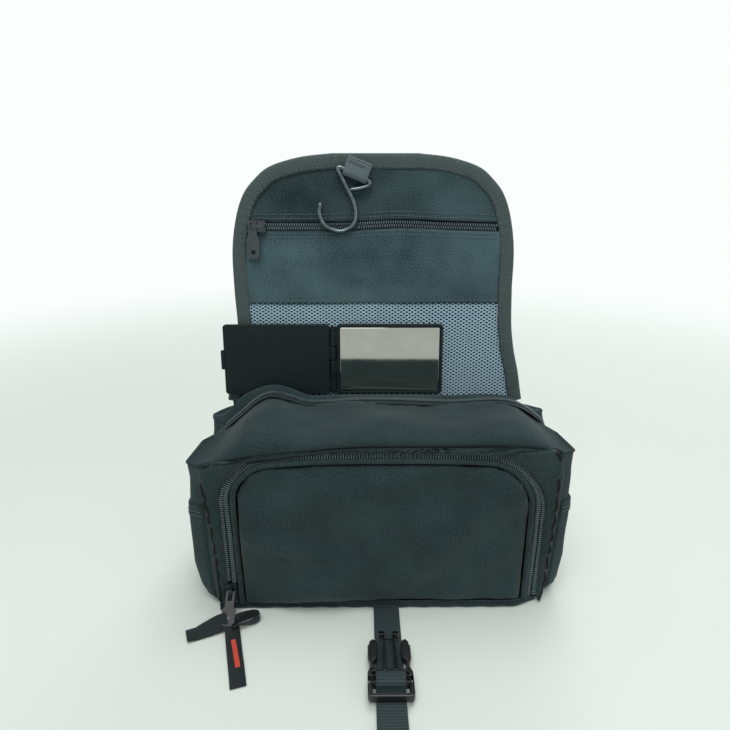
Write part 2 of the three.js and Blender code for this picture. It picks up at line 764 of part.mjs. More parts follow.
// Upper half of the flap: backing, zipped pocket and binding
add(flap, "flap_upper_backing", standing(flapShape(seam + tape, foldHigh, flapHeight), -half, flapBacking), nylon);
const upperSide = [[edgeAt(0, foldHigh), foldHigh], ...flapSide(0, foldHigh + cloth, Infinity)];
add(flap, "flap_binding", boundEdge([...upperSide, ...upperSide.map(([x, z]) => [-x, z]).reverse()]), trim);
const pocketInset = 2 * seam + tape;
const slotLow = flapZipHeight - zipSlot;
const slotHigh = flapZipHeight + zipSlot;
add(flap, "flap_pocket_lower", standing(flapShape(pocketInset, foldHigh, slotLow), layerFront, flapBacking), nylon);
add(flap, "flap_pocket_upper", standing(flapShape(pocketInset, slotHigh, flapHeight), layerFront, flapBacking), nylon);
const zipHalf = edgeAt(bindingWidth + 2 * seam, flapZipHeight);
add(flap, "flap_zip_coil", block(
  flapShift - zipHalf, flapShift + zipHalf, layerFront - tape, layerFront + coilHeight - tape,
  flapZipHeight - coilWidth, flapZipHeight + coilWidth
), trim);

// The flap's slider lies on its side, running towards +x
const flapSlider = new THREE.Group();
flapSlider.position.set(flapShift - zipHalf + cloth, layerFront - tape - seam, flapZipHeight);
flap.add(flapSlider);
add(flapSlider, "flap_slider", sliderShape().rotateY(Math.PI / 2), blackMetal);
const legAcross = (sliderLength - bridgeLength + bridgeWall) / 2;
const eyeMiddle = (pullThickness + pullEye) / 2;
add(flapSlider, "flap_pull_tab", pullShape(pullLength), blackMetal).position.set(legAcross, -eyeOut, eyeMiddle);

// Hook: one wire from its open tip, round the loop and up the shank to a three-cornered eye
const hook = new THREE.Group();
const hookFront = bindFront - webbing - 2 * seam - wire;
hook.position.set(hookAcross + flapShift, hookFront, hookSeat);
flap.add(hook);
const hookShares = [
  [-0.52, -0.42], [-0.545, -0.555], [-0.527, -0.65], [-0.467, -0.76], [-0.352, -0.835], [-0.23, -0.868],
  [-0.11, -0.838], [-0.015, -0.765], [0.03, -0.635], [0, -0.43], [-0.11, -0.2], [-0.225, 0.03], [-0.25, 0.085],
  [-0.2, 0.09], [-0.17, 0.076], [0, 0], [0.17, -0.076], [0.21, -0.094], [0.25, -0.135], [0.2, -0.19],
  [0.07, -0.222], [-0.03, -0.232],
];
const hookPoints = hookShares.map(([x, z]) => [x * hookLength, z * hookLength]);
const hookLine = new THREE.CatmullRomCurve3(hookPoints.map(([x, z]) => V(x, 0, z)), false, "centripetal");
add(hook, "hook", new THREE.ExtrudeGeometry(new THREE.Shape(round(wire, 8)), {
  extrudePath: hookLine, steps: 60, bevelEnabled: false,
}), blackMetal);

// The webbing that goes round the eye's upper side
function roundTurn(radius, x, y, from, to, steps = 6) {
  const points = [];
  for (let k = 0; k <= steps; k++) {
    const a = from + ((to - from) * k) / steps;
    points.push(V(x, y + radius * Math.cos(a), radius * Math.sin(a)));
  }
  return points;
}

const tabRadius = wire + seam + webbing / 2;
const tabLine = [
  V(0, tabRadius, hookTabHeight), ...roundTurn(tabRadius, 0, 0, 0, -Math.PI), V(0, -tabRadius, hookTabHeight),
];
const tabFrames = framesAlong(tabLine, V(1, 0, 0));
add(hook, "hook_webbing", sweep(strip(-webbing / 2, webbing / 2, -hookTabWidth / 2, hookTabWidth / 2), tabFrames), web)
  .rotation.y = -hookTilt;

// Buckle socket on a short strap that hangs from the flap's outer side
const socket = new THREE.Group();
socket.position.set(flapShift, bindBack + seam + webbing / 2, socketDrop);
socket.rotation.x = flapLean;
flap.add(socket);
add(socket, "socket_strap", block(
  -strapWidth / 2, strapWidth / 2, -webbing / 2, webbing / 2, -socketStrap, 0
), web);
const socketBox = block(-buckleWidth / 2, buckleWidth / 2, 0, socketThickness, -socketStrap - socketLength, -socketStrap - seam);
const socketRoom = block(
  -buckleWidth / 2 + socketWall, buckleWidth / 2 - socketWall, socketWall, socketThickness - socketWall,
  -socketStrap - socketLength - seam, -socketStrap - socketWall * 4
);
const socketWindow = (side) => block(
  side * buckleWidth / 2 - socketWall * 2, side * buckleWidth / 2 + socketWall * 2, socketWall, socketThickness - socketWall,
  ...socketWindowShares.map((share) => -socketStrap - socketLength * share)
);
add(socket, "buckle_socket", less(socketBox, socketRoom, socketWindow(-1), socketWindow(1)), plastic)
  .position.set(0, -webbing / 2, 0);

// Strap: one webbing, out from under the front edge, turned back and taken over the buckle's bar
const strapRootY = -halfDepth - 1.5 * seam;
const strap = new THREE.Group();
strap.position.set(strapAcross, -halfDepth, 0);
bag.add(strap);
const lowZ = strapLift + webbing / 2;
const highZ = lowZ + webbing + seam;
const buckleFloor = highZ + webbing / 2 + 1.5 * seam;
const overZ = buckleFloor + buckleThickness + seam + webbing / 2;
const strapLine = [
  V(0, strapRootY + halfDepth, lowZ), V(0, -strapRun, lowZ), V(0, -strapRun - webbing / 2 - seam, (lowZ + highZ) / 2),
  V(0, -strapRun, highZ), V(0, -ladderEnd, highZ), V(0, -(barEnd + 2 * webbing), highZ + seam),
  V(0, -(barEnd + barWrap), buckleFloor + webbing), V(0, -(barEnd + barWrap), overZ - webbing / 2),
  V(0, -(barEnd - webbing / 2), overZ), V(0, -(barStart + webbing / 2), overZ),
  V(0, -(barStart - barWrap), overZ - webbing / 2), V(0, -(barStart - barWrap), buckleFloor + webbing),
];
add(strap, "front_strap", sweep(
  strip(-webbing / 2, webbing / 2, -strapWidth / 2, strapWidth / 2), framesAlong(strapLine, V(1, 0, 0))
), web);

const halfBuckle = buckleWidth / 2;
const ladderShape = roundedBox(-halfBuckle, halfBuckle, -ladderEnd, -ladderStart, cloth);
const slotHalf = halfBuckle - ladderWall;
for (const [near, far] of [[ladderStart + ladderWall / 2, barStart], [barEnd, ladderEnd - ladderWall]]) {
  ladderShape.holes.push(new THREE.Path(
    [[-slotHalf, -near], [-slotHalf, -far], [slotHalf, -far], [slotHalf, -near]].map(([x, y]) => new THREE.Vector2(x, y))
  ));
}
const tongue = lying(roundedBox(
  -tongueWidth / 2, tongueWidth / 2, -ladderStart - ladderWall / 2, -tongueStart, cloth
), buckleFloor, buckleThickness);
add(strap, "buckle_plug", joined(lying(ladderShape, buckleFloor, buckleThickness), tongue), plastic);
for (const [name, side] of [["left", -1], ["right", 1]]) {
  const root = -ladderStart + seam;
  const out = halfBuckle - seam;
  const prong = shapeOf([
    [side * out, root], [side * (out - prongArm), root],
    [side * (out - prongArm), root + prongLength - prongPadLength],
    [side * (out - prongPad), root + prongLength - prongPadLength + prongArm],
    [side * (out - prongPad), root + prongLength - prongArm], [side * (out - prongArm), root + prongLength],
    [side * (out - cloth / 2), root + prongLength - prongArm], [side * out, root + prongLength - prongPadLength],
  ]);
  add(strap, "buckle_prong_" + name, outward(clean(lying(prong, buckleFloor, buckleThickness))), plastic);
}

// Folding mirror: it stands in the crease between the flap and the bag, opened flat
const mirror = new THREE.Group();
mirror.position.set(mirrorAcross + flapShift, -mirrorBack, leafSeat);
flap.add(mirror);
const leaf = (x0, x1, thickness) =>
  standing(roundedBox(x0, x1, 0, leafHeight, leafRadius), -leafThickness, thickness);
const mirrorLeaf = leaf(hingeReach, hingeReach + leafWidth, leafThickness);
const glassHole = block(
  hingeReach + glassInset, hingeReach + leafWidth - glassInset, -leafThickness - seam, -leafThickness + glassThickness + 2 * seam,
  glassInset, leafHeight - glassInset
);
const pinY = -leafThickness - seam;
const knuckle = (z0, z1, reach, y1) => joined(
  rod(knuckleRadius, V(0, pinY, z0), V(0, pinY, z1), 10), block(Math.min(reach, 0), Math.max(reach, 0), y1 - cloth, y1, z0, z1)
);
const pinHole = rod(pinRadius + seam, V(0, pinY, -seam), V(0, pinY, leafHeight), 10);
const knuckleTop = knuckleStart + 3 * (knuckleLength + seam);
const plateBack = -leafThickness + cloth + seam;
const lugs = [knuckleStart, knuckleStart + 2 * (knuckleLength + seam)]
  .map((z) => knuckle(z, z + knuckleLength, hingeReach + cloth, plateBack));
add(mirror, "mirror_frame", less(joined(mirrorLeaf, ...lugs), glassHole, pinHole), matte);
add(mirror, "mirror_glass", block(
  hingeReach + glassInset + seam, hingeReach + leafWidth - glassInset - seam,
  -leafThickness + seam, -leafThickness + seam + glassThickness, glassInset + seam, leafHeight - glassInset - seam
), silver);
add(mirror, "mirror_hinge_pin", rod(
  pinRadius, V(0, pinY, knuckleStart - seam), V(0, pinY, knuckleTop), 10
), blackMetal);
const coverLeaf = leaf(-hingeReach - leafWidth, -hingeReach, coverThickness);
const catchTab = block(
  -hingeReach - leafWidth - catchWidth, -hingeReach - leafWidth + catchWidth,
  -leafThickness, -leafThickness + cloth, (leafHeight - catchHeight) / 2, (leafHeight + catchHeight) / 2
);
const middle = knuckleStart + knuckleLength + seam;
add(mirror, "mirror_cover", less(
  joined(coverLeaf, catchTab, knuckle(middle, middle + knuckleLength, -hingeReach - cloth, plateBack)), pinHole
), matte);

export default bag;
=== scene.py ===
"""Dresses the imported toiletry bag: sewn cloth, zips, net, hook, folding mirror, strap and buckle."""
import math

import bpy
import numpy as np
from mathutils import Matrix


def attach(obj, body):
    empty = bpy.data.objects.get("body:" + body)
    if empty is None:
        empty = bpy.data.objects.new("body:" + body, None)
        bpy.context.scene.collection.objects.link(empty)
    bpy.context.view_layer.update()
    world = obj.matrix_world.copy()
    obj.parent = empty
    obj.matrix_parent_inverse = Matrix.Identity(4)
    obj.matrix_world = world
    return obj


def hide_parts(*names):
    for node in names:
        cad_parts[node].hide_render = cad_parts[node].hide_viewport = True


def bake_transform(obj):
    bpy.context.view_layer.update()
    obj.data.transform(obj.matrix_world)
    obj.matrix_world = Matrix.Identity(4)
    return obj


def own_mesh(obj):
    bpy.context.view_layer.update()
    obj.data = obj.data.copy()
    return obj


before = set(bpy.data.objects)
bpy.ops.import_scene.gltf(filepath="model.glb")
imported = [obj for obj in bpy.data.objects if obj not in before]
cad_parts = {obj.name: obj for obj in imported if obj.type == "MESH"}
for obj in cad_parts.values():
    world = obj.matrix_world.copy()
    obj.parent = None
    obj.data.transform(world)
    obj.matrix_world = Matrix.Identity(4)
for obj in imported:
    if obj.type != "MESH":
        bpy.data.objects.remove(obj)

bl_info = {
    "name": "Hanging toiletry bag",
    "version": (1, 0, 0),
    "blender": (4, 5, 0),
    "location": "View3D > Sidebar > Toiletry bag",
    "description": "Makes the cloth, zips, net and fittings of a standing toiletry bag",
    "category": "Object",
}

MM = 0.001
RIGHT, BACK, UP = np.eye(3)
FRONT = -BACK

# Sizes in millimetres that the pieces share with the frame
HALF_FRONT, HALF_DEPTH, DEPTH, FRONT_HEIGHT = 103.0, 35.0, 70.0, 110.0
CHAIN_HALF, CHAIN_TOP, MAIN_ZIP_BACK, ZIP_SLOT = 94.5, 103.8, 53.0, 2.6
AXIS_Y, AXIS_Z, LEAN = 38.0, 116.8, math.radians(8)
FLAP_SHIFT, FLAP_HALF, FLAP_HEIGHT, FOLD, FLAP_ZIP = -4.5, 92.0, 154.5, 61.0, 110.5
CLOTH, TAPE, WEBBING, WEBBING_WIDTH = 1.4, 0.6, 1.4, 16.0
TAPE_FRONT, TEETH_FRONT, TEETH_STEP, TEETH_RADIUS = -33.9, -34.9, 1.5, 0.38
# The wall's back corner: where it starts and ends as shares of the run, and its radius
TURN_START, TURN_END, TURN_RADIUS = 0.36, 0.44, 7.0
# The camera was fitted to the base line, the flap's edge and the strap: place in metres, tilt and turn in degrees
CAMERA_PLACE, CAMERA_TILT, CAMERA_TURN = (-0.0134, -0.3029, 0.2629), 69.72, -0.36
CAMERA_LENS, CAMERA_SENSOR = 26.6, 36.0


# Colour and nodes

def linear(colour):
    """sRGB hex to linear RGBA: each channel c is c/12.92 below 0.04045, else ((c+0.055)/1.055)^2.4."""
    channels = [int(colour[i:i + 2], 16) / 255 for i in (1, 3, 5)]
    return tuple(c / 12.92 if c <= 0.04045 else ((c + 0.055) / 1.055) ** 2.4 for c in channels) + (1.0,)


def add_node(tree, kind, inputs=None, **settings):
    """Adds one node. inputs maps a socket's name or number to a value or to another node's output."""
    node = tree.nodes.new(kind)
    for key, value in settings.items():
        setattr(node, key, value)
    for key, value in (inputs or {}).items():
        if isinstance(value, bpy.types.NodeSocket):
            tree.links.new(value, node.inputs[key])
        else:
            node.inputs[key].default_value = value
    return node


def new_material(name):
    """An empty node material and its tree."""
    material = bpy.data.materials.new(name)
    material.use_nodes = True
    material.node_tree.nodes.clear()
    return material, material.node_tree


def object_place(tree):
    """The piece's Object coordinates, in metres."""
    return add_node(tree, "ShaderNodeTexCoord").outputs["Object"]


def close_material(tree, colour, height, strength, **surface):
    """Ends a material in a principled shader whose bump is height, in metres, at the given strength. Returns the
    shader's output and the socket that it ends in."""
    bump = add_node(tree, "ShaderNodeBump", {"Strength": strength, "Distance": 1.0, "Height": height})
    sockets = {"Base Color": colour, "Normal": bump.outputs[0]}
    sockets.update({"IOR" if key == "ior" else key.replace("_", " ").title(): value for key, value in surface.items()})
    shader = add_node(tree, "ShaderNodeBsdfPrincipled", sockets)
    end = add_node(tree, "ShaderNodeOutputMaterial", {"Surface": shader.outputs[0]})
    return shader.outputs[0], end.inputs["Surface"]


def maths(tree, operation, a, b=0.0, c=0.0):
    """One Math node's output: a sum, product, sine or other plain operation of a, b and c."""
    return add_node(tree, "ShaderNodeMath", {0: a, 1: b, 2: c}, operation=operation).outputs[0]


def product(tree, a, b, more=0.0):
    """a times b, plus more."""
    return maths(tree, "MULTIPLY_ADD", a, b, more)


def swing(tree, value, amount, base):
    """base plus a random value's distance from one half, times amount."""
    return maths(tree, "ADD", base, maths(tree, "MULTIPLY", maths(tree, "SUBTRACT", value, 0.5), amount))


def thread_wave(tree, coordinate, spacing):
    """A thread's rounded back: |sin(pi x / spacing)| for a coordinate in metres and a spacing in metres."""
    return maths(tree, "ABSOLUTE", maths(tree, "SINE", maths(tree, "MULTIPLY", coordinate, math.pi / spacing)))


def cloth_coordinates(tree):
    """The piece's own cloth map, in metres along warp and weft."""
    uv = add_node(tree, "ShaderNodeUVMap", uv_map="cloth").outputs[0]
    parts = add_node(tree, "ShaderNodeSeparateXYZ", {0: uv})
    return uv, parts.outputs[0], parts.outputs[1]


def noise(tree, vector, size, detail=3.0, roughness=0.55):
    """Soft random values whose lumps are about size metres across."""
    sockets = {"Vector": vector, "Scale": 1.0 / size, "Detail": detail, "Roughness": roughness}
    return add_node(tree, "ShaderNodeTexNoise", sockets).outputs[0]


def blend_colours(tree, share, first, second):
    """first where share is 0 or less and second where it is 1 or more, by a two-stop ramp."""
    ramp = add_node(tree, "ShaderNodeValToRGB", {0: share})
    for stop, place, colour in zip(ramp.color_ramp.elements, (0.0, 1.0), (first, second)):
        stop.position, stop.color = place, colour
    return ramp.outputs[0]


def seen_directly(tree):
    """1 for rays from the camera and for those that metal and glass send on, 0 for light that falls on the bag."""
    ray = add_node(tree, "ShaderNodeLightPath").outputs
    bounced = maths(tree, "MAXIMUM", ray["Is Glossy Ray"], ray["Is Transmission Ray"])
    return maths(tree, "MAXIMUM", ray["Is Camera Ray"], bounced)


# Materials. Sizes of patterns are in metres

def woven_nylon(name, dark, light, spacing, depth, wear_and_sheen=0.2, shade_and_sheen_patch=0.3, grain=1.9):
    """Plain-woven textured nylon: warp and weft cross over, so the face is matt, faintly ribbed, with a soft sheen.
    Soft lumps 34 mm across paint fold shade and sheen patches into its colour, and lumps 12 mm across paint rubbed wear
    with sheen.
    """
    material, tree = new_material(name)
    place = object_place(tree)
    uv, warp, weft = cloth_coordinates(tree)
    over = maths(tree, "MULTIPLY", thread_wave(tree, warp, spacing), thread_wave(tree, weft, spacing))
    # The real thread is 0.3 mm. It is drawn at 0.8 mm, because finer slubs don't show in the render
    slubs = noise(tree, uv, 0.0008, 2.0, 0.65)
    tone = product(tree, over, 0.2, product(tree, slubs, grain, 0.4 - grain / 2))
    # Painted shade and sheen: soft darker and lighter patches that stand in for the shadows of folds and patchy
    # highlights
    tone = swing(tree, noise(tree, place, 0.034, 2.0, 0.5), shade_and_sheen_patch, tone)
    # Rubbed wear, partly painted sheen: smaller lighter and darker lumps
    tone = swing(tree, noise(tree, place, 0.012, 4.0, 0.6), wear_and_sheen, tone)
    height = product(tree, over, 0.5, maths(tree, "MULTIPLY", slubs, 0.5))
    close_material(tree, blend_colours(tree, tone, linear(dark), linear(light)), maths(tree, "MULTIPLY", height, depth),
                   0.8, roughness=0.85, ior=1.17, sheen_weight=0.12, sheen_roughness=0.45)
    return material


def ribbed_webbing(name, dark, light, rib, depth, roughness=0.7):
    """Woven tape or webbing: close ribs across its run and finer threads along it give short rows of light."""
    material, tree = new_material(name)
    uv, across, along = cloth_coordinates(tree)
    ribs = thread_wave(tree, along, rib)
    threads = thread_wave(tree, across, rib * 0.8)
    grain = noise(tree, uv, 0.001, 3.0, 0.6)
    tone = product(tree, ribs, 0.45, maths(tree, "MULTIPLY", grain, 0.55))
    height = maths(tree, "MULTIPLY", product(tree, threads, 0.4, ribs), depth)
    close_material(tree, blend_colours(tree, tone, linear(dark), linear(light)), height, 0.8, roughness=roughness,
                   ior=1.25, sheen_weight=0.12, sheen_roughness=0.5)
    return material


def spun_thread(name, dark, light):
    """Twisted sewing thread: slanting plies that catch a thin line of light."""
    material, tree = new_material(name)
    place = object_place(tree)
    parts = add_node(tree, "ShaderNodeSeparateXYZ", {0: place}).outputs
    slant = maths(tree, "ADD", parts[0], maths(tree, "ADD", parts[1], parts[2]))
    plies = thread_wave(tree, slant, 0.0005)
    tone = product(tree, plies, 0.6, maths(tree, "MULTIPLY", noise(tree, place, 0.002), 0.4))
    close_material(tree, blend_colours(tree, tone, linear(dark), linear(light)),
                   maths(tree, "MULTIPLY", plies, 0.00008), 0.7, roughness=0.55, ior=1.35, sheen_weight=0.1)
    return material


def moulded_plastic(name, dark, light, roughness, grain, depth, index=1.48):
    """Moulded plastic: an even colour with a fine spark-eroded grain, and a roughness that changes in soft patches."""
    material, tree = new_material(name)
    place = object_place(tree)
    pits = noise(tree, place, grain, 2.0, 0.5)
    haze = noise(tree, place, 0.02, 3.0, 0.5)
    tone = product(tree, pits, 0.5, maths(tree, "MULTIPLY", haze, 0.5))
    close_material(tree, blend_colours(tree, tone, linear(dark), linear(light)), maths(tree, "MULTIPLY", pits, depth),
                   0.6, roughness=product(tree, haze, 0.16, roughness - 0.08), ior=index)
    return material


def enamelled_zinc(name, dark, light, metal=0.35, coat=0.5, roughness=0.2):
    """Black enamel on die-cast zinc: glossy over a slightly uneven casting, worn to grey in small spots."""
    material, tree = new_material(name)
    place = object_place(tree)
    lumps = noise(tree, place, 0.004, 3.0, 0.5)
    chips = maths(tree, "GREATER_THAN", noise(tree, place, 0.0012, 4.0, 0.6), 0.71)
    tone = product(tree, chips, 0.6, maths(tree, "MULTIPLY", lumps, 0.3))
    close_material(tree, blend_colours(tree, tone, linear(dark), linear(light)),
                   maths(tree, "MULTIPLY", lumps, 0.00025), 0.5, roughness=product(tree, lumps, 0.2, roughness),
                   metallic=metal, coat_weight=coat, coat_roughness=0.12)
    return material


def hazy_metal(name, dark, light, size, detail, depth, strength, spread, roughness):
    """Bare metal with a faint haze: all of its light is reflection, a little broader where the haze lies."""
    material, tree = new_material(name)
    place = object_place(tree)
    haze = noise(tree, place, size, detail, 0.6)
    close_material(tree, blend_colours(tree, haze, linear(dark), linear(light)), maths(tree, "MULTIPLY", haze, depth),
                   strength, roughness=product(tree, haze, spread, roughness), metallic=1.0)
    return material


def matt_sheet(name, colour, share, size, grain):
    """Matt paper or card: flat colour, a little darker in soft patches, with a fine tooth that keeps it dull. Returns
    the material, and its shader's output with the socket that it ends in."""
    material, tree = new_material(name)
    place = object_place(tree)
    darker = tuple(c * share for c in colour) + (1.0,)
    tint = blend_colours(tree, noise(tree, place, *size), darker, tuple(colour) + (1.0,))
    tooth = maths(tree, "MULTIPLY", noise(tree, place, *grain), 0.00005)
    return material, close_material(tree, tint, tooth, 0.4, roughness=0.8)


# Each finish: how it is made, its name, its darkest and lightest colour, and then the maker's own values
FINISHES = {
    # For the nylons the values after the colours are the weave's spacing and depth, then wear with painted sheen,
    # painted fold shade with sheen patches, and grain
    "body": (woven_nylon, "Textured nylon", "#10191B", "#435558", 0.0008, 0.00022, 0.22, 0.5, 1.7),
    "flap": (woven_nylon, "Flap nylon", "#1B2729", "#617C83", 0.0008, 0.00012, 0.2, 0.9, 1.5),
    "flap_high": (woven_nylon, "Shaded flap nylon", "#151F21", "#51676C", 0.0008, 0.00012, 0.2, 0.9, 1.5),
    "lining": (woven_nylon, "Coated lining nylon", "#181D1F", "#313A3C", 0.0005, 0.0001, 0.1),
    "net_back": (woven_nylon, "Net pocket backing", "#0E2028", "#274450", 0.0006, 0.0001, 0.1),
    "binding": (ribbed_webbing, "Grosgrain binding", "#242E2F", "#5C6C6C", 0.0011, 0.0002),
    "tape": (ribbed_webbing, "Zip tape", "#0C1416", "#26353A", 0.0008, 0.00012),
    # Near-black cord laid along the front's seam: its colour is a painted shadow line of the seam's crease
    "seam": (ribbed_webbing, "Seam shadow cord", "#04070A", "#0C1214", 0.0009, 0.0001),
    "webbing": (ribbed_webbing, "Polyester webbing", "#151D1F", "#405054", 0.0016, 0.00024, 0.6),
    "tab": (ribbed_webbing, "Grey webbing tab", "#3D484B", "#74828A", 0.0009, 0.0001, 0.5),
    "ribbon": (ribbed_webbing, "Satin ribbon", "#0B1113", "#272F32", 0.0012, 0.00014, 0.55),
    "thread": (spun_thread, "Grey sewing thread", "#3E4B50", "#76868C"),
    "dark_thread": (spun_thread, "Dark sewing thread", "#202628", "#48525A"),
    "bartack": (spun_thread, "Red bartack thread", "#BF3220", "#FF6A50"),
    "net": (spun_thread, "Net yarn", "#92C4DC", "#DDF4FF"),
    # The coil's light colour, scattered by its fine grain, is partly painted glints on the loops, beside their real
    # gloss
    "coil": (moulded_plastic, "Nylon coil", "#232D31", "#7F9299", 0.34, 0.0006, 0.00003, 1.4),
    "zinc": (enamelled_zinc, "Black enamelled zinc", "#1B2426", "#54646A"),
    "dark_zinc": (enamelled_zinc, "Unworn black enamelled zinc", "#0E1314", "#262F32", 0.0, 0.05, 0.4),
    # Gunmetal-plated spring wire: a dark metal whose round back carries one pale line of light
    "wire": (hazy_metal, "Gunmetal-plated wire", "#333C3F", "#6E7A7F", 0.003, 3.0, 0.00003, 0.4, 0.18, 0.1),
    # Silvered mirror glass: clear reflection, darkened by the glass, with light smears
    "glass": (hazy_metal, "Silvered glass", "#999A92", "#ACAEA6", 0.014, 4.0, 0.000004, 0.3, 0.05, 0.01),
    "acetal": (moulded_plastic, "Moulded acetal", "#0D1011", "#222527", 0.36, 0.0009, 0.00004),
    "shell": (moulded_plastic, "Matt ABS shell", "#0D1516", "#1F2B2D", 0.5, 0.0006, 0.00004, 1.25),
}
MADE = {}


def finish(name):
    """The material of that name, made the first time it is asked for."""
    if name not in MADE:
        maker, *values = FINISHES[name]
        MADE[name] = maker(*values)
    return MADE[name]


# Grids, sweeps and scattered small shapes, in millimetres

def unit(vectors):
    """Vectors cut to a length of one."""
    return vectors / np.maximum(np.linalg.norm(vectors, axis=-1, keepdims=True), 1e-12)


def square_to(vectors, along):
    """Unit vectors: what is left of each vector once its share along a unit direction is taken away."""
    return unit(vectors - along * np.einsum("ij,ij->i", vectors, along)[:, None])


def distances(path):
    """Distance run at each point of a path: the sum of the steps before it."""
    return np.concatenate([[0], np.cumsum(np.linalg.norm(np.diff(path, axis=0), axis=1))])


def directions(path):
    """Unit directions along a path."""
    return unit(np.gradient(path, axis=0))


def sampled(points, run, at):
    """Points read off at places along run, straight between one and the next."""
    return np.stack([np.interp(at, run, points[:, k]) for k in range(3)], -1)


def grid_quads(rows, columns, around=False):
    """Four-sided faces of a grid numbered row by row. around joins the last column to the first."""
    i = np.arange(rows - 1)[:, None] * columns
    j = np.arange(columns if around else columns - 1)[None, :]
    k = (j + 1) % columns
    return np.stack([i + j, i + columns + j, i + columns + k, i + k], -1).reshape(-1, 4)


def tube_quads(rows, columns, around=False):
    """Faces of rings joined one to the next. around joins the last ring to the first, otherwise fans on the two points
    that follow the rings close the ends."""
    j = np.arange(columns)
    k = (j + 1) % columns
    last = (rows - 1) * columns
    if around:
        ends = [np.stack([last + j, j, k, last + k], -1)]
    else:
        start = np.full(columns, rows * columns)
        ends = [np.stack([start, j, k, k], -1), np.stack([start + 1, last + k, last + j, last + j], -1)]
    return np.concatenate([grid_quads(rows, columns, around=True), *ends])


def volume(points, quads):
    """Six times the signed volume under quads: the sum of a . (b x c) over each half of each face."""
    a, b, c, d = (points[quads[:, k]] for k in range(4))
    return np.einsum("ij,ij->i", a, np.cross(b, c)).sum() + np.einsum("ij,ij->i", a, np.cross(c, d)).sum()


def mesh_object(name, points, quads, uv=None, smooth=True):
    """A mesh object from whole arrays: points, four-sided faces (a repeated corner makes three), and a map. Its faces
    point away from its middle."""
    mesh = bpy.data.meshes.new(name)
    if volume(points - points.mean(0), quads) < 0:
        quads = quads[:, ::-1]
    same = quads[:, 2] == quads[:, 3]
    totals = np.where(same, 3, 4)
    keep = np.ones(quads.shape, bool)
    keep[same, 3] = False
    loops = quads[keep]
    mesh.vertices.add(len(points))
    mesh.vertices.foreach_set("co", np.ascontiguousarray(points * MM, np.float32).ravel())
    mesh.loops.add(len(loops))
    mesh.loops.foreach_set("vertex_index", loops.astype(np.int32))
    mesh.polygons.add(len(quads))
    starts = np.concatenate([[0], np.cumsum(totals)[:-1]])
    mesh.polygons.foreach_set("loop_start", starts.astype(np.int32))
    mesh.polygons.foreach_set("loop_total", totals.astype(np.int32))
    mesh.polygons.foreach_set("use_smooth", np.full(len(quads), smooth))
    if uv is not None:
        layer = mesh.uv_layers.new(name="cloth")
        layer.data.foreach_set("uv", np.ascontiguousarray(uv[loops] * MM, np.float32).ravel())
    mesh.update(calc_edges=True)
    mesh.validate()
    piece = bpy.data.objects.new(name, mesh)
    bpy.context.scene.collection.objects.link(piece)
    return piece


def grid_map(points):
    """A map of a grid: mean distance travelled along the columns, then along the rows."""
    runs = []
    for axis in (1, 0):
        steps = np.linalg.norm(np.diff(points, axis=axis), axis=-1).mean(axis=1 - axis)
        runs.append(np.concatenate([[0], np.cumsum(steps)]))
    return np.stack(np.meshgrid(*runs), -1).reshape(-1, 2)


def ring_of(rows, columns):
    """The numbers of a grid's border points, in order."""
    top = np.arange(columns)
    right = np.arange(1, rows) * columns + columns - 1
    bottom = np.arange(columns - 2, -1, -1) + (rows - 1) * columns
    left = np.arange(rows - 2, 0, -1) * columns
    return np.concatenate([top, right, bottom, left])


def cloth_slab(name, face, thickness, out):
    """Cloth as a closed slab: a grid of face points, the same grid moved back by thickness along its normals, and an
    edge between them that stands out by a fifth of it. out is the side that the face looks to."""
    normals = unit(np.cross(np.gradient(face, axis=0), np.gradient(face, axis=1)))
    middle = tuple(k // 2 for k in face.shape[:2])
    if np.dot(normals[middle], out) < 0:
        normals = -normals
    rows, columns = face.shape[:2]
    count = rows * columns
    ring = ring_of(rows, columns)
    flat, behind = face.reshape(-1, 3), (face - normals * thickness).reshape(-1, 3)
    edge = (flat[ring] + behind[ring]) / 2
    away = square_to(edge - flat.mean(0), normals.reshape(-1, 3)[ring])
    edge = edge + away * thickness * 0.2
    front_faces = grid_quads(rows, columns)
    a = np.arange(len(ring))
    b = (a + 1) % len(ring)
    rim = 2 * count
    first = np.stack([ring[a], ring[b], rim + b, rim + a], -1)
    second = np.stack([rim + a, rim + b, count + ring[b], count + ring[a]], -1)
    corner = flat[ring[0]]
    side_way = np.dot(np.cross(flat[ring[1]] - corner, edge[1] - corner), away[0])
    face_way = np.dot(np.cross(face[1, 0] - face[0, 0], face[0, 1] - face[0, 0]), normals[0, 0])
    if side_way * face_way < 0:
        first, second = first[:, ::-1], second[:, ::-1]
    quads = np.concatenate([front_faces, front_faces[:, ::-1] + count, first, second])
    uv = grid_map(face)
    return mesh_object(name, np.concatenate([flat, behind, edge]), quads, np.concatenate([uv, uv, uv[ring]]))


def sweep(name, path, across, section, scale=1.0):
    """A closed profile carried along a path. Each profile point p, q stands at path + p*across + q*up, where up is
    across x direction. The ends are closed by a fan on the profile's middle. scale narrows the profile by point."""
    path, section = np.asarray(path, float), np.asarray(section, float)
    along = directions(path)
    across = square_to(np.broadcast_to(np.asarray(across, float), path.shape), along)
    up = np.cross(across, along)
    size = np.broadcast_to(scale, len(path))[:, None, None]
    points = path[:, None] + size * (section[None, :, :1] * across[:, None] + section[None, :, 1:] * up[:, None])
    run = distances(path)
    uv = np.stack(np.broadcast_arrays(section[None, :, 0], run[:, None]), -1).reshape(-1, 2)
    uv = np.concatenate([uv, [[0, run[0]], [0, run[-1]]]])
    return mesh_object(name, np.concatenate([points.reshape(-1, 3), path[[0, -1]]]), tube_quads(*points.shape[:2]), uv)


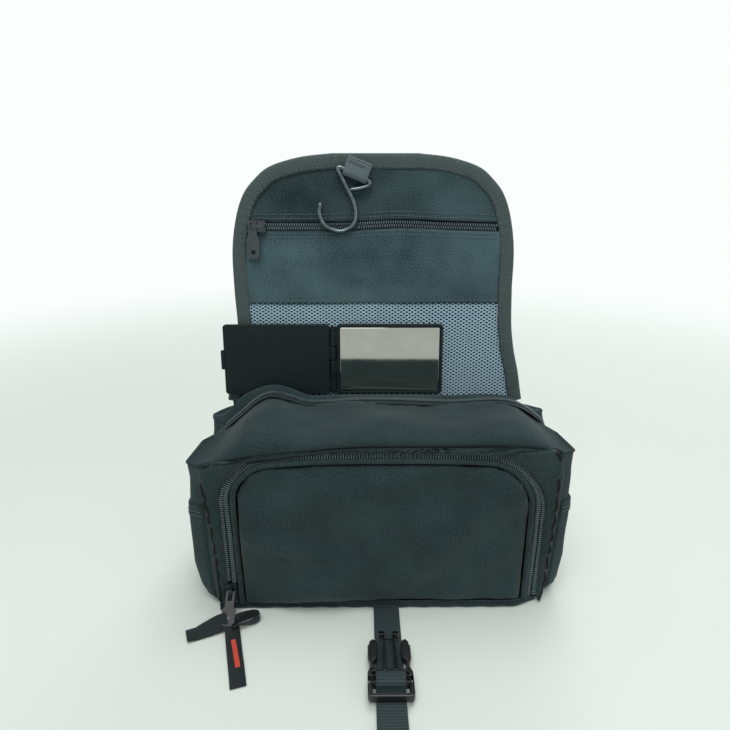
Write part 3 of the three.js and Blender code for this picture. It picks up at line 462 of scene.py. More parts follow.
def loft(name, rings, around=False):
    """Equal rings of points joined one to the next. around joins the last to the first, otherwise fans close it."""
    rings = np.asarray(rings, float)
    flat = rings.reshape(-1, 3)
    if not around:
        flat = np.concatenate([flat, rings[[0, -1]].mean(1)])
    uv = flat[:, [0, 2]] - flat[0, [0, 2]]
    return mesh_object(name, flat, tube_quads(*rings.shape[:2], around), uv, smooth=False)


def circle(radius, sides=10):
    """A round profile."""
    a = np.arange(sides) * 2 * math.pi / sides
    return np.stack([radius * np.cos(a), radius * np.sin(a)], -1)


def band(width, thickness, corner=3):
    """A flat profile with rounded edges: two half circles of half the thickness, set width apart."""
    r = thickness / 2
    a = np.linspace(-math.pi / 2, math.pi / 2, corner + 1)
    right = np.stack([width / 2 - r + r * np.cos(a), r * np.sin(a)], -1)
    flat_top = np.stack([np.linspace(width / 2 - r, -width / 2 + r, 4)[1:-1], np.full(2, r)], -1)
    return np.concatenate([right, flat_top, -right, -flat_top])


def spaced(path, step):
    """Points a fixed distance apart along a path, with the direction at each."""
    run = distances(path)
    at = np.arange(step / 2, run[-1], step)
    ahead = sampled(path, run, np.minimum(at + step / 4, run[-1]))
    return sampled(path, run, at), unit(ahead - sampled(path, run, np.maximum(at - step / 4, 0)))


def repeated(name, shape, quads, places, along, up):
    """One small shape set at many places: its x goes along, its z up and its y across them."""
    up = square_to(np.broadcast_to(np.asarray(up, float), along.shape), along)
    ways = np.stack([along, np.cross(up, along), up], 1)
    points = places[:, None] + np.einsum("sk,nkj->nsj", shape, ways)
    faces = quads[None] + (np.arange(len(places)) * len(shape))[:, None, None]
    return mesh_object(name, points.reshape(-1, 3), faces.reshape(-1, 4), np.zeros((points.size // 3, 2)))


def capsule(length, radius, sides=6, bow=0.0):
    """A short thread as five rings along x, thin at both ends: its middle stands proud by bow."""
    t = np.array([-1, -0.8, 0, 0.8, 1.0])
    r = radius * np.array([0.15, 0.85, 1, 0.85, 0.15])[:, None]
    a = np.arange(sides) * 2 * math.pi / sides
    x = np.broadcast_to((t * length / 2)[:, None], (5, sides))
    points = np.stack([x, r * np.cos(a), r * np.sin(a) + (bow * (1 - t ** 2))[:, None]], -1).reshape(-1, 3)
    j = np.arange(sides // 2 - 1)
    caps = []
    for first in (0, 4 * sides):
        quad = first + np.stack([j, j + 1, sides - 2 - j, sides - 1 - j], -1)
        caps.append(quad if first else quad[:, ::-1])
    return points, np.concatenate([grid_quads(5, sides, around=True), *caps])


def dressed(piece, body, slot, material, *nodes):
    """Gives a piece its finish and body, and hides the CAD nodes that it stands for. Given two bodies with the points
    where the first ends and the second begins, the piece is only baked where it stands and joins neither body."""
    piece.data.materials.append(finish(material))
    if isinstance(body, str):
        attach(piece, body)
    else:
        first, second, start, end = body
        tuple(start)
        tuple(end)
        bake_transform(piece)
    if nodes:
        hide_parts(*nodes)
    return piece


def enamelled(node, material):
    """Gives a metal CAD node that stays visible its finish."""
    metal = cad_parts[node]
    metal.data.materials.clear()
    metal.data.materials.append(finish(material))


def panel(name, face, thickness, out, body, material, *nodes, slot="nylon"):
    """A slab of cloth with its body, finish and nodes, by cloth_slab and dressed."""
    return dressed(cloth_slab(name, face, thickness, out), body, slot, material, *nodes)


def cord(name, path, across, section, body, slot, material, *nodes, scale=1.0):
    """A profile carried along a path, with its body, finish and nodes, by sweep and dressed. Its slot is not used."""
    return dressed(sweep(name, path, across, section, scale), body, slot, material, *nodes)


# Forms of this bag, all in millimetres

def joined(*parts):
    """Points from their coordinates, each spread over the others."""
    return np.stack(np.broadcast_arrays(*parts), -1)


def upright(points, y):
    """Points x, z set on an upright plane at y."""
    points = np.asarray(points, float)
    return joined(points[..., 0], y, points[..., 1])


def level(points, z):
    """Points x, y set at a height."""
    return joined(points[:, 0], points[:, 1], z)


def ease(t):
    """Smooth step: 3t^2 - 2t^3 between 0 and 1."""
    t = np.clip(t, 0, 1)
    return t * t * (3 - 2 * t)


def arc(t):
    """Half a sine: sin(pi t) between 0 and 1, and 0 outside."""
    return np.sin(math.pi * np.clip(t, 0, 1))


def hump(distance, width, power=2):
    """A soft rise of 1 at no distance: exp(-(distance / width)^power)."""
    return np.exp(-(distance / width) ** power)


def folds(u, v, seed, count=5):
    """Soft folds: a mean of sines of u and v whose directions, periods and starts follow from the seed."""
    draw = np.random.default_rng(seed)
    total = 0
    for _ in range(count):
        a, b, start = draw.uniform(-1, 1), draw.uniform(-1, 1), draw.uniform(0, 2 * math.pi)
        total = total + np.sin(2 * math.pi * (a * u + b * v) + start)
    return total / count


def spline(points, count):
    """A Catmull-Rom curve through points: each span is the cubic whose end slopes are half the chord of its
    neighbours."""
    p = np.asarray(points, float)
    p = np.concatenate([2 * p[:1] - p[1:2], p, 2 * p[-1:] - p[-2:-1]])
    t = np.linspace(0, len(p) - 3, count)
    k = np.minimum(t.astype(int), len(p) - 4)
    f = (t - k)[:, None]
    a, b, c, d = p[k], p[k + 1], p[k + 2], p[k + 3]
    return 0.5 * (2 * b + (c - a) * f + (2 * a - 5 * b + 4 * c - d) * f ** 2 + (3 * b - a - 3 * c + d) * f ** 3)


# The filled bag leans and bulges, so each side follows its own line. CREST is the top along the main zip and SEAM the
# front's upper seam, both as x and height
CREST = [
    [-114, 97], [-103, 101.5], [-91.5, 111.5], [-80.4, 121], [-71.1, 124.6], [-60.8, 122.6], [-49.3, 118.6],
    [-36.9, 118.3], [-16, 119.6], [6.1, 119.6], [29.1, 118.6], [48, 118.2], [73.2, 119.4], [88.6, 116.4],
    [103.5, 106], [114, 98],
]
SEAM = [[-107, 102.7], [-90, 104.2], [-73, 106.2], [-50, 109.7], [-13, 112.5], [62, 112.3], [85, 111], [101, 109.6]]
# The top's left and right edge: distances back, then how far out and how high it is there
EDGES = {
    -1: ([0, 6, 30, 46, 55, 60, 66, 70], [106, 115, 112, 104.5, 106, 113, 114.5, 112],
         [102.7, 103, 103.5, 102, 102.5, 105, 104.5, 104]),
    1: ([0, 6, 30, 46, 55, 60, 66, 70], [101, 110, 108, 104, 105, 107.5, 108.5, 106],
        [109.6, 108.8, 107.5, 105.5, 106, 109.5, 108, 106]),
}
# The left and right wall: heights, then how far it bulges there
BULGES = {
    -1: ([0, 6, 14, 30, 50, 70, 90, 105], [3, 8.5, 12, 14.5, 14.5, 13.5, 12, 11]),
    1: ([0, 5, 12, 30, 60, 90, 108], [4, 8, 10, 11, 9.5, 8, 7]),
}
# The flap's outline: shares of its height, then shares of its half-width
FLAP_SHARES = np.array([
    [0, 1.08], [0.1, 1.05], [0.2, 1.01], [0.3, 0.99], [0.45, 1], [0.62, 1], [0.75, 0.965],
    [0.84, 0.91], [0.9, 0.83], [0.95, 0.72], [0.985, 0.52], [1, 0.3],
])


def along_points(x, points):
    """The height of a smooth curve through points at each x, by interpolation on its Catmull-Rom curve."""
    line = spline(points, 400)
    return np.interp(x, line[:, 0], line[:, 1])


def edge_reach(back, side):
    """How far the top's side edge stands out at a distance back."""
    return np.interp(back, EDGES[side][0], EDGES[side][1])


def edge_height(back, side):
    """How high the top's side edge is at a distance back."""
    return np.interp(back, EDGES[side][0], EDGES[side][2])


def across_top(u, back):
    """x between the top's left edge at u = -1 and its right edge at u = 1."""
    return -edge_reach(back, -1) * (1 - u) / 2 + edge_reach(back, 1) * (1 + u) / 2


def to_edges(z, u, back, power):
    """Heights that run into the top's side edges, whose share is |u| to a power."""
    border = np.abs(u) ** power
    return z * (1 - border) + border * np.where(u < 0, edge_height(back, -1), edge_height(back, 1))


def wall_half(back, z, side):
    """Half-width of the soft wall: a quarter circle of 6 mm at the base, a quick step out behind the front seam to the
    bulge at that height, and above four fifths of the height a smooth step to the top's edge. On the right the wall
    swells by up to 3.5 mm more towards the back and the top."""
    back, z = np.asarray(back, float), np.asarray(z, float)
    low = 6 - np.clip(z, 0, 6)
    half = HALF_FRONT - 6 + np.sqrt(np.maximum(36 - low ** 2, 0))
    bulge = np.interp(z, *BULGES[side]) + (3.5 * back / DEPTH * ease(z / FRONT_HEIGHT) if side > 0 else 0)
    share = ease((z / edge_height(back, side) - 0.8) / 0.2)
    return (half + bulge * ease(back / 8)) * (1 - share) + edge_reach(back, side) * share


def settle(points):
    """The right end of the front leans back: at the base y grows by up to 8.5 mm past x = 80, and from 60 mm up by
    up to 7 mm past x = 20, less higher up. In between the two are mixed by height, and both fade to none at the
    back."""
    points = np.array(points, float)
    x, y, z = points[..., 0], points[..., 1], points[..., 2]
    near = np.clip((35 - y) / 70, 0, 1)
    low = np.clip(z / 60, 0, 1)
    back = 8.5 * ease((x - 80) / 26) * (1 - low) + 7.0 * ease((x - 20) / 80) * (1 - z / 160) * low
    points[..., 1] = y + back * near
    return points


def arch(half, top, left, right, foot, leg=14, bend=10, across=30, left_foot=None):
    """The line of the U zip: a left leg up from its foot, a quarter circle, the top, a quarter circle, the right
    leg."""
    left_foot = foot if left_foot is None else left_foot
    a = np.linspace(0, math.pi / 2, bend + 1)
    left_leg = joined(-half, np.linspace(left_foot, top - left, leg))
    left_bend = joined(-half + left - left * np.cos(a), top - left + left * np.sin(a))[1:]
    middle = joined(np.linspace(-half + left, half - right, across), top)[1:]
    right_bend = joined(half - right + right * np.sin(a), top - right + right * np.cos(a))[1:]
    right_leg = joined(half, np.linspace(top - right, foot, leg))[1:]
    return np.concatenate([left_leg, left_bend, middle, right_bend, right_leg])


def bowed(points):
    """The filled front bows up: its top rises by 5.8 mm in the middle, falling off with the cube of x, and its upper
    right part moves 1.6 mm to the left."""
    points = np.array(points, float)
    x, z = points[..., 0], points[..., 1]
    points[..., 1] = z + 5.8 * np.maximum(1 - np.abs(x / 88) ** 3, 0) * ease((z - 50) / 52)
    points[..., 0] = x - 1.6 * ease((z - 30) / 70) * ease(x / 60)
    return points


def zip_arch(offset, foot=4.0, **counts):
    """The U zip's line moved outwards by offset, bowed with the filled front."""
    return bowed(arch(CHAIN_HALF + offset, CHAIN_TOP + offset, 26 + offset, 34 + offset, foot, **counts))


def on_flap(points):
    """Points in the flap's own frame, x across, y back and z up from its axis, turned by its lean and set on the
    bag."""
    x, y, z = np.moveaxis(np.asarray(points, float), -1, 0)
    c, s = math.cos(LEAN), math.sin(LEAN)
    return np.stack([x, AXIS_Y + c * y + s * z, AXIS_Z - s * y + c * z], -1)


def flap_way(vector):
    """A direction in the flap's frame, turned by its lean."""
    return on_flap(vector) - on_flap(np.zeros(3))


def flap_edge(inset=0.0, count=97):
    """The flap's right edge as x, z points from its foot to its top, moved inwards by inset."""
    line = spline(FLAP_SHARES[:, ::-1] * (FLAP_HALF, FLAP_HEIGHT), count)
    along = directions(line)
    return line + inset * np.stack([-along[:, 1], along[:, 0]], -1)


def edge_at(inset, heights):
    """Half-width of the flap at each height, less an inset."""
    line = flap_edge(inset)
    return np.interp(heights, line[:, 1], line[:, 0])


def drawn_in(x, z):
    """The flap's right half is narrower: x is cut by up to 2.8 percent with a smooth step of the height."""
    return x * np.where(x > 0, 1 - 0.028 * ease((z - 36) / 40), 1)


def flap_line(x, z, y):
    """A line on the flap from its x and z before the flap is drawn in."""
    return on_flap(joined(FLAP_SHIFT + drawn_in(x, z), y, z))


def flap_grid(low, high, inset, front, rows=40, columns=60, ripple=None):
    """A face on the flap between two heights: x is a share of the half-width there, y is front plus any ripple."""
    z = np.linspace(low, min(high, FLAP_HEIGHT - inset), rows)[:, None]
    u = np.linspace(-1, 1, columns)[None, :]
    x = FLAP_SHIFT + drawn_in(u * edge_at(inset, z), z)
    return on_flap(joined(x, front + (ripple(x, z) if ripple else 0), z))


def rounded_rectangle(x0, x1, z0, z1, radius, corner=5, inset=0.0):
    """A rectangle with quarter-circle corners, moved inwards by inset, as x, z points round it."""
    x0, x1, z0, z1 = x0 + inset, x1 - inset, z0 + inset, z1 - inset
    r = max(radius - inset, 0.05)
    a = np.linspace(0, math.pi / 2, corner)
    turns = [(x1 - r, z1 - r), (x0 + r, z1 - r), (x0 + r, z0 + r), (x1 - r, z0 + r)]
    return np.concatenate([
        joined(cx + r * np.cos(a + k * math.pi / 2), cz + r * np.sin(a + k * math.pi / 2))
        for k, (cx, cz) in enumerate(turns)])


def bevelled(bevel, near, far):
    """Insets and places of a moulded edge: a small bevel at near, a straight side, and the same bevel at far."""
    way = math.copysign(bevel, far - near)
    return [(bevel, near), (bevel * 0.3, near + way * 0.3), (0, near + way),
            (0, far - way), (bevel * 0.3, far - way * 0.3), (bevel, far)]


def plate(name, box, radius, front, back, bevel, place):
    """A plate with bevelled edges. box is its x and z limits, front and back are y, and place sets it."""
    steps = bevelled(bevel, front, back)
    return loft(name, [place(upright(rounded_rectangle(*box, radius, inset=inset), y)) for inset, y in steps])


def block(name, box, low, high, radius, bevel, body, *nodes):
    """A block of moulded plastic: a rounded plan outline, box, with bevelled upper and lower edges."""
    steps = bevelled(bevel, low, high)
    piece = loft(name, [level(rounded_rectangle(*box, radius, inset=inset), z) for inset, z in steps])
    return dressed(piece, body, "buckle_plastic", "acetal", *nodes)


def stitches(name, path, normal, material, body, pitch=2.6, length=1.9, radius=0.22, bow=0.15):
    """A row of stitches along a path: bowed thread ends a pitch apart, lying on the cloth."""
    shape, quads = capsule(length, radius, bow=bow)
    places, along = spaced(path, pitch)
    return dressed(repeated(name, shape, quads, places, along, normal), body, "binding", material)


def zip_row(name, path, across, normal, side, body, *nodes, spread=1.1, length=2.1):
    """One side of a zip chain: a filament loop every 1.5 mm, each a small capsule laid across the chain. spread is the
    row's distance from the middle, the same all along or one for each point of the path."""
    shape, quads = capsule(length, TEETH_RADIUS, bow=0.25)
    places, along = spaced(path, TEETH_STEP)
    run = np.linspace(0, 1, len(path))
    at = (np.arange(len(places)) + 0.5) / len(places)
    sideways, out = sampled(across, run, at), sampled(normal, run, at)
    reach = np.interp(at, run, np.broadcast_to(spread, len(path)))[:, None]
    places = places + sideways * side * reach + along * (TEETH_STEP / 2 if side > 0 else 0) + out * 0.2
    teeth = repeated(name, shape, quads, places, sideways + along * 0.18 * side, out)
    return dressed(teeth, body, "zip_coil", "coil", *nodes)


# What a user would change

def size_property(label, about, value):
    """A length whose default is given in millimetres."""
    return bpy.props.FloatProperty(name=label, description=about, default=value * MM, unit="LENGTH")


def colour_property(label, about, value):
    """A colour property whose default is an sRGB hex value turned to linear."""
    return bpy.props.FloatVectorProperty(name=label, description=about, default=linear(value)[:3], subtype="COLOR")


class BagSizes(bpy.types.PropertyGroup):
    """Sizes of the soft forms and of the patterns."""
    door_pad: size_property("Door padding", "How far the front door stands proud", 3.6)
    top_pad: size_property("Top padding", "How far the top panel swells between its seams", 2.4)
    sag: size_property("Sag", "Depth of the soft folds in the walls", 1.1)
    net_width: size_property("Net width", "Width of one lozenge of the net", 3.8)
    net_height: size_property("Net height", "Height of one lozenge of the net", 2.3)
    stitch: size_property("Stitch", "Distance from one stitch to the next", 2.6)


class BagColours(bpy.types.PropertyGroup):
    """Colours of the stage."""
    floor: colour_property("Floor", "Colour of the paper the bag stands on", "#EBF3EC")
    card: colour_property("Card", "Colour of the board that the mirror shows", "#44585B")


def keys_of(group):
    """The names of a group's own properties."""
    return [key for key in group.bl_rna.properties.keys() if key not in ("rna_type", "name")]


def sizes():
    """The user's sizes in millimetres."""
    group = bpy.context.scene.bag_sizes
    return {key: getattr(group, key) / MM for key in keys_of(group)}


# The body's sewn shell

def shell_outline(s, z):
    """Plan position of the wall: s runs 0 to 1 from the left front seam round a back corner to the back's middle, and
    on to 2 at the right front seam. The corner is a quarter circle of 7 mm."""
    t = np.where(s <= 1, s, 2 - s)
    back = (DEPTH - TURN_RADIUS) * np.clip(t / TURN_START, 0, 1)
    reach = np.clip((t - TURN_END) / (1 - TURN_END), 0, 1)
    a = np.clip((t - TURN_START) / (TURN_END - TURN_START), 0, 1) * math.pi / 2
    half = np.where(s <= 1, wall_half(back, z, -1), wall_half(back, z, 1))
    corner = half - TURN_RADIUS
    x = np.where(t <= TURN_END, corner + TURN_RADIUS * np.cos(a), corner * (1 - reach))
    x = np.where(t <= TURN_START, half, x)
    y = np.where(t <= TURN_START, back - HALF_DEPTH, HALF_DEPTH - TURN_RADIUS + TURN_RADIUS * np.sin(a))
    return np.where(s <= 1, -x, x), np.where(t > TURN_END, HALF_DEPTH, y)


def seam_arch(**counts):
    """The front's outer seam: upright sides that lean inwards, and the seam's own line along the top."""
    x, z = arch(102.8, FRONT_HEIGHT - 0.6, 4.0, 4.0, 1.7, **counts).T
    x = x - 3.6 * ease((z - 40) / 70) * (x < 0) - 1.4 * ease((z - 40) / 70) * (x > 0)
    x = x - (x > 0) * np.maximum(12 - z, 0) ** 2 / 12 * 0.2
    z = z + (along_points(x, SEAM) - FRONT_HEIGHT + 0.2) * ease((z - 60) / 48)
    return joined(x, z)


def give(piece):
    """Gives the piece a mesh of its own."""
    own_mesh(piece)


def walls(sag):
    """Both side walls and the back, in one piece."""
    spans = ((0, TURN_START, 40), (TURN_START, TURN_END, 8), (TURN_END, 1, 30))
    s = np.concatenate([[0], *(np.linspace(*span)[1:] for span in spans)])
    s = np.concatenate([s, 2 - s[-2::-1]])[:, None]
    v = np.concatenate([np.linspace(0, 0.12, 10), np.linspace(0.12, 1, 44)[1:]])[None, :]
    x, y = shell_outline(s, np.full_like(v, 100.0))
    back = y + HALF_DEPTH
    top = np.where(s <= 1, edge_height(back, -1), edge_height(back, 1))
    top = top + (112 - top) * np.clip((back - 66) / 4, 0, 1) * (1 - np.abs(x / 112) ** 8) - 0.4
    z = 0.8 + v * (top - 0.8)
    x, y = shell_outline(s, z)
    t = np.minimum(s, 2 - s)
    crease = folds(s * 9, z / 60, 4) * np.sin(math.pi * v) * np.clip(t / 0.05, 0, 1)
    pleat = 1.3 * np.sin(z / 4.5 + 9 * t) * hump(t - 0.29, 0.03) * ease(z / 60)
    way = np.where(s < 0.4, -1, np.where(s > 1.6, 1, 0))
    x = x + way * (sag * crease + 0.5 * pleat)
    y = y + np.where(way == 0, 1, 0) * sag * 0.7 * crease
    panel("body_walls", settle(joined(x, y, z)), CLOTH, BACK, "bag", "body",
          "left_side_panel", "right_side_panel", "back_panel")


def base():
    """A flat superellipse with a rolled edge, which stands 0.9 mm clear of the table at its rim."""
    u, w = np.linspace(-1, 1, 61)[:, None], np.linspace(-1, 1, 25)[None, :]
    round_off = 1 - 0.03 * (np.abs(u) ** 12) * (np.abs(w) ** 6)
    half = np.where(u < 0, 105.0, 98.0)
    z = 0.05 + 0.9 * np.maximum(np.abs(u) ** 18, np.abs(w) ** 18)
    panel("base_cloth", settle(joined(u * half * round_off, w * 34.6 * round_off, z)), CLOTH, -UP, "bag", "body",
          "base_panel")


def front_border():
    """The border round the door, as rings from the zip's slot out to the seam that swell forwards by a half sine, with
    a near-black cord along its edge that paints the seam's shadow line."""
    counts = dict(leg=24, bend=14, across=60)
    outer = seam_arch(**counts)
    t = np.linspace(0, 1, 13)[None, :]
    share = t[..., None]
    grid = zip_arch(3.0, **counts)[:, None] * (1 - share) + outer[:, None] * share
    y = -35.2 - 1.5 * np.sin(math.pi * t) + 3.0 * t ** 7
    y = y - 0.45 * folds(grid[..., 0] / 16, grid[..., 1] / 16, 7) * np.sin(math.pi * t)
    run = distances(outer)[:, None]
    pucker = np.sin(run * 0.9 + 1.6 * np.sin(run / 13))
    y = y - 1.4 * pucker * np.clip(t * 1.6 - 0.5, 0, 1) - 0.7 * np.sin(run * 0.7) * hump(t - 0.12, 0.12)
    panel("front_border", settle(upright(grid, y)), 1.3, FRONT, "bag", "body", "front_frame")

    # Painted shadow: a near-black cord along the seam, set in front of the border's lit rim, stands in for the seam's
    # shadow line
    beside = ease((98 - outer[:, 1]) / 8)
    line = upright(outer * (0.99, 1), -HALF_DEPTH - (2.9 + 1.3 * pucker[:, 0]) * beside)
    line[:, 0] += 0.6 * np.sin(run[:, 0] * 0.55) * np.sign(-line[:, 0]) * beside
    cord("front_seam_shadow", settle(line), BACK, circle(0.8, 8), "bag", "nylon", "seam")


class BAG_OT_shell(bpy.types.Operator):
    """Sides, back, base and front border of the body"""
    bl_idname = "bag.shell"
    bl_label = "Body shell"

    def execute(self, context):
        walls(sizes()["sag"])
        base()
        front_border()
        # The roll along the front's foot, and the strip between it and the door
        x = np.linspace(-101, 97, 90)
        foot = settle(joined(x, -34.4 + 0.2 * np.sin(x / 2.3), 1.6))
        cord("front_foot_roll", foot, UP, circle(1.45), "bag", "nylon", "body")
        w = np.linspace(0, 1, 5)[None]
        rail = joined(np.linspace(-94, 93, 60)[:, None], -34.9 - 0.3 * w, 2.4 + 2.2 * w)
        panel("front_rail", settle(rail), 1.0, FRONT, "bag", "body")
        # The rolled seams up the back corners, and the lining behind the door
        z = np.linspace(3, 102, 50)
        for side, name in ((-1, "left"), (1, "right")):
            x = side * (wall_half(np.full_like(z, DEPTH - 1.5), z, side) - 1.6)
            line = settle(joined(x, HALF_DEPTH - 1.6, z))
            cord(f"back_seam_{name}", line, BACK, circle(1.1, 8), "bag", "nylon", "body")
        x, z = 101 * np.linspace(-1, 1, 40)[:, None], np.linspace(2, 98, 8)[None, :]
        face = joined(x, -20.0 + 0.4 * folds(x / 70, z / 60, 3), z)
        panel("pocket_lining", settle(face), 1.0, FRONT, "bag", "lining", "pocket_divider")
        return {"FINISHED"}


class BAG_OT_top(bpy.types.Operator):
    """Soft top panels in front of and behind the main zip"""
    bl_idname = "bag.top"
    bl_label = "Top panels"

    def execute(self, context):
        pad = sizes()["top_pad"]
        u = np.linspace(-1, 1, 160)[:, None]
        w = np.linspace(0, 1, 60)[None, :] ** 1.3
        back = w * (MAIN_ZIP_BACK - ZIP_SLOT)
        x = across_top(u, back)
        rise = 0.8 * np.sin(math.pi / 2 * np.clip(w / 0.24, 0, 1)) + 0.2 * np.sin(math.pi / 2 * w)
        seam, crest = along_points(x, SEAM), along_points(x, CREST)
        middle = 1 - np.abs(u) ** 6
        brow = 3.4 * hump(x - 18, 66, 4) * arc(np.clip(w / 0.75, 0, 1) ** 0.5)
        z = seam + (crest - seam) * rise + pad * 0.5 * np.sin(math.pi * w ** 0.75) * middle + brow
        pucker = 3.0 * folds(x / 60, w * 0.9, 12) * ease(w * 2) + 1.4 * folds(x / 22, w * 0.8, 5) * ease((w - 0.3) * 2)
        gather = 0.35 * np.sin(x / 1.7 + 2 * np.sin(x / 13)) * ease((w - 0.72) / 0.28)
        z = z + (pucker + gather) * middle * (1 - ease((w - 0.9) / 0.1) * 0.5)
        y = back - HALF_DEPTH - 5.2 * arc(np.clip(w / 0.24, 0, 1) ** 0.9) * (1 - np.abs(u) ** 5) + 1.6 * hump(w, 0.03)
        panel("top_front_cloth", settle(joined(x, y, to_edges(z, u, back, 14))), CLOTH, UP, "mouth", "body",
              "top_front_panel")

        w = np.linspace(0, 1, 40)[None, :]
        back = MAIN_ZIP_BACK + ZIP_SLOT + w * (DEPTH - MAIN_ZIP_BACK - ZIP_SLOT)
        x = across_top(u, back)
        roll = arc(w / 0.7) * (1.2 + 1.6 * ease((-x - 45) / 20))
        z = along_points(x, CREST) + roll + 0.3 * folds(x / 26, w * 0.7, 22)
        z = np.where(x > -44, np.minimum(z, 119.8), z) + 9.0 * hump(x + 96, 14) * arc(w / 0.9)
        z = to_edges(z + (111.5 - z) * ease((w - 0.52) / 0.3), u, back, 10)
        give(panel("top_rear_cloth", settle(joined(x, back - HALF_DEPTH, z)), CLOTH, UP, "bag", "body",
                   "top_rear_panel"))
        return {"FINISHED"}


def points_of(mesh):
    """A mesh's points in metres."""
    points = np.zeros(len(mesh.vertices) * 3)
    mesh.vertices.foreach_get("co", points)
    return points.reshape(-1, 3)


def inflate(piece, pressure, frames, cap, voxel):
    """Swells a pad: a voxel remesh, then Cloth with pressure and no gravity. Returns its points, each moved by no more
    than cap metres."""
    start = piece.modifiers.new("Remesh", "REMESH")
    start.mode, start.voxel_size, start.use_smooth_shade = "VOXEL", voxel, True
    bpy.context.view_layer.objects.active = piece
    bpy.ops.object.modifier_apply(modifier=start.name)
    before = points_of(piece.data)
    cloth = piece.modifiers.new("Cloth", "CLOTH")
    cloth.settings.use_pressure = True
    cloth.settings.uniform_pressure_force = pressure
    cloth.settings.effector_weights.gravity = 0
    cloth.settings.quality = 4
    cloth.settings.bending_stiffness = 1.5
    cloth.point_cache.frame_start, cloth.point_cache.frame_end = 1, frames
    scene = bpy.context.scene
    for number in range(1, frames + 1):
        scene.frame_set(number)
    move = points_of(piece.evaluated_get(bpy.context.evaluated_depsgraph_get()).data) - before
    piece.modifiers.remove(cloth)
    scene.frame_set(1)
    far = np.linalg.norm(move, axis=1, keepdims=True)
    return before + move * np.minimum(1, cap / np.maximum(far, 1e-9))


def door_face(u, w, y):
    """A point of the door's face: x runs between the zip line's two legs at that height, z from the foot to the top,
    and the face bows up with the filled front."""
    line = arch(CHAIN_HALF - 5.7, CHAIN_TOP - 3.2, 21, 29, 3.6, leg=30, bend=30, across=10)
    half = len(line) // 2
    z = 3.6 + w * (CHAIN_TOP - 3.3 - 3.6)
    left, right = line[:half], line[half:][::-1]
    x0, x1 = np.interp(z, left[:, 1], left[:, 0]), np.interp(z, right[:, 1], right[:, 0])
    return settle(upright(bowed(joined(x0 * (1 - u) / 2 + x1 * (1 + u) / 2, z)), y))


def door_folds(x, z):
    """How far the door's folds stand forwards: broad, middling and fine soft folds and four creases, which all die out
    towards the seams and where the buckle lies, and a row of small gathers along the top seam."""
    inside = np.clip(np.minimum(np.minimum(x + 90, 88 - x), np.minimum(z - 3, 104 - z)) / 12, 0, 1)
    inside = inside * (1 - 0.8 * np.exp(-((x - 1.6) / 14) ** 2 - ((z - 27) / 13) ** 2))
    soft = 5.0 * folds(x / 90, z / 60, 31) + 2.6 * folds(x / 36, z / 38, 17) + 1.1 * folds(x / 14, z / 20, 19)
    drag = 2.2 * hump(z - 60 + 0.37 * (x + 88), 3.4) * ease((-30 - x) / 30)
    drag += 1.5 * hump(z - 12 - 0.45 * (x + 60), 4) * ease((x + 75) / 20) * ease((5 - x) / 30)
    drag += 1.6 * hump(z - 30 + 0.35 * x, 5) * ease((40 - x) / 60)
    drag += 1.3 * hump(z - 62 - 0.2 * x, 7) * ease((x + 10) / 60)
    return (soft + drag) * inside + 0.3 * np.sin(x / 1.9 + 3 * np.sin(x / 30)) * hump(z - 98, 6)


class BAG_OT_door(bpy.types.Operator):
    """Padded front door with its piping and lower stitching"""
    bl_idname = "bag.door"
    bl_label = "Front door"

    def execute(self, context):
        pad = sizes()["door_pad"]
        u = np.linspace(-1, 1, 141)[:, None]
        w = np.linspace(0, 1, 81)[None, :]
        rise = (1 - np.abs(u) ** 16) ** 0.6 * (1 - np.abs(2 * w - 1) ** 12) ** 0.6
        piece = cloth_slab("door_cloth", door_face(u, w, -35.6 - pad * 0.45 * rise), 4.4, FRONT)
        shape = inflate(piece, 4.0, 20, pad * 0.5 * MM, 3.0 * MM)
        front = shape[:, 1] < np.median(shape[:, 1])
        shape[:, 1] -= front * door_folds(shape[:, 0] / MM, shape[:, 2] / MM) * MM
        mesh = piece.data
        mesh.vertices.foreach_set("co", shape.ravel())
        mesh.update()
        loops = np.zeros(len(mesh.loops), np.int32)
        mesh.loops.foreach_get("vertex_index", loops)
        layer = mesh.uv_layers.get("cloth") or mesh.uv_layers.new(name="cloth")
        layer.data.foreach_set("uv", np.ascontiguousarray(shape[loops][:, [0, 2]], np.float32).ravel())
        smoother = piece.modifiers.new("Subdivision", "SUBSURF")
        smoother.levels = smoother.render_levels = 1
        dressed(piece, "pocket_door", "nylon", "body", "front_door")

        line = bowed(arch(CHAIN_HALF - 5.8, CHAIN_TOP - 3.3, 20.8, 28.8, 5.6, leg=30, bend=18, across=70))
        line = settle(upright(line, -35.9))
        line[:, 0] += 0.12 * np.sin(line[:, 2] / 3)
        cord("door_piping_cord", line, BACK, circle(1.6, 12), "pocket_door", "binding", "body", "door_piping")
        x = np.linspace(-84, 84, 160)
        row = settle(joined(x, -37.4 - 0.3 * np.sin(x / 9), 7.4 + 0.3 * np.sin(x / 14)))
        stitches("door_foot_stitches", row, FRONT, "dark_thread", "pocket_door")
        return {"FINISHED"}


def tape_band(name, near, far, foot, body, node, left_foot=None):
    """Zip tape between two offsets of the U zip's line, as a thin closed slab."""
    a, b = zip_arch(near, foot, left_foot=left_foot), zip_arch(far, foot, left_foot=left_foot)
    t = np.linspace(0, 1, 5)[None, :, None]
    grid = a[:, None] * (1 - t) + b[:, None] * t
    panel(name, settle(upright(grid, TAPE_FRONT)), TAPE, FRONT, body, "tape", node, slot="zip_tape")


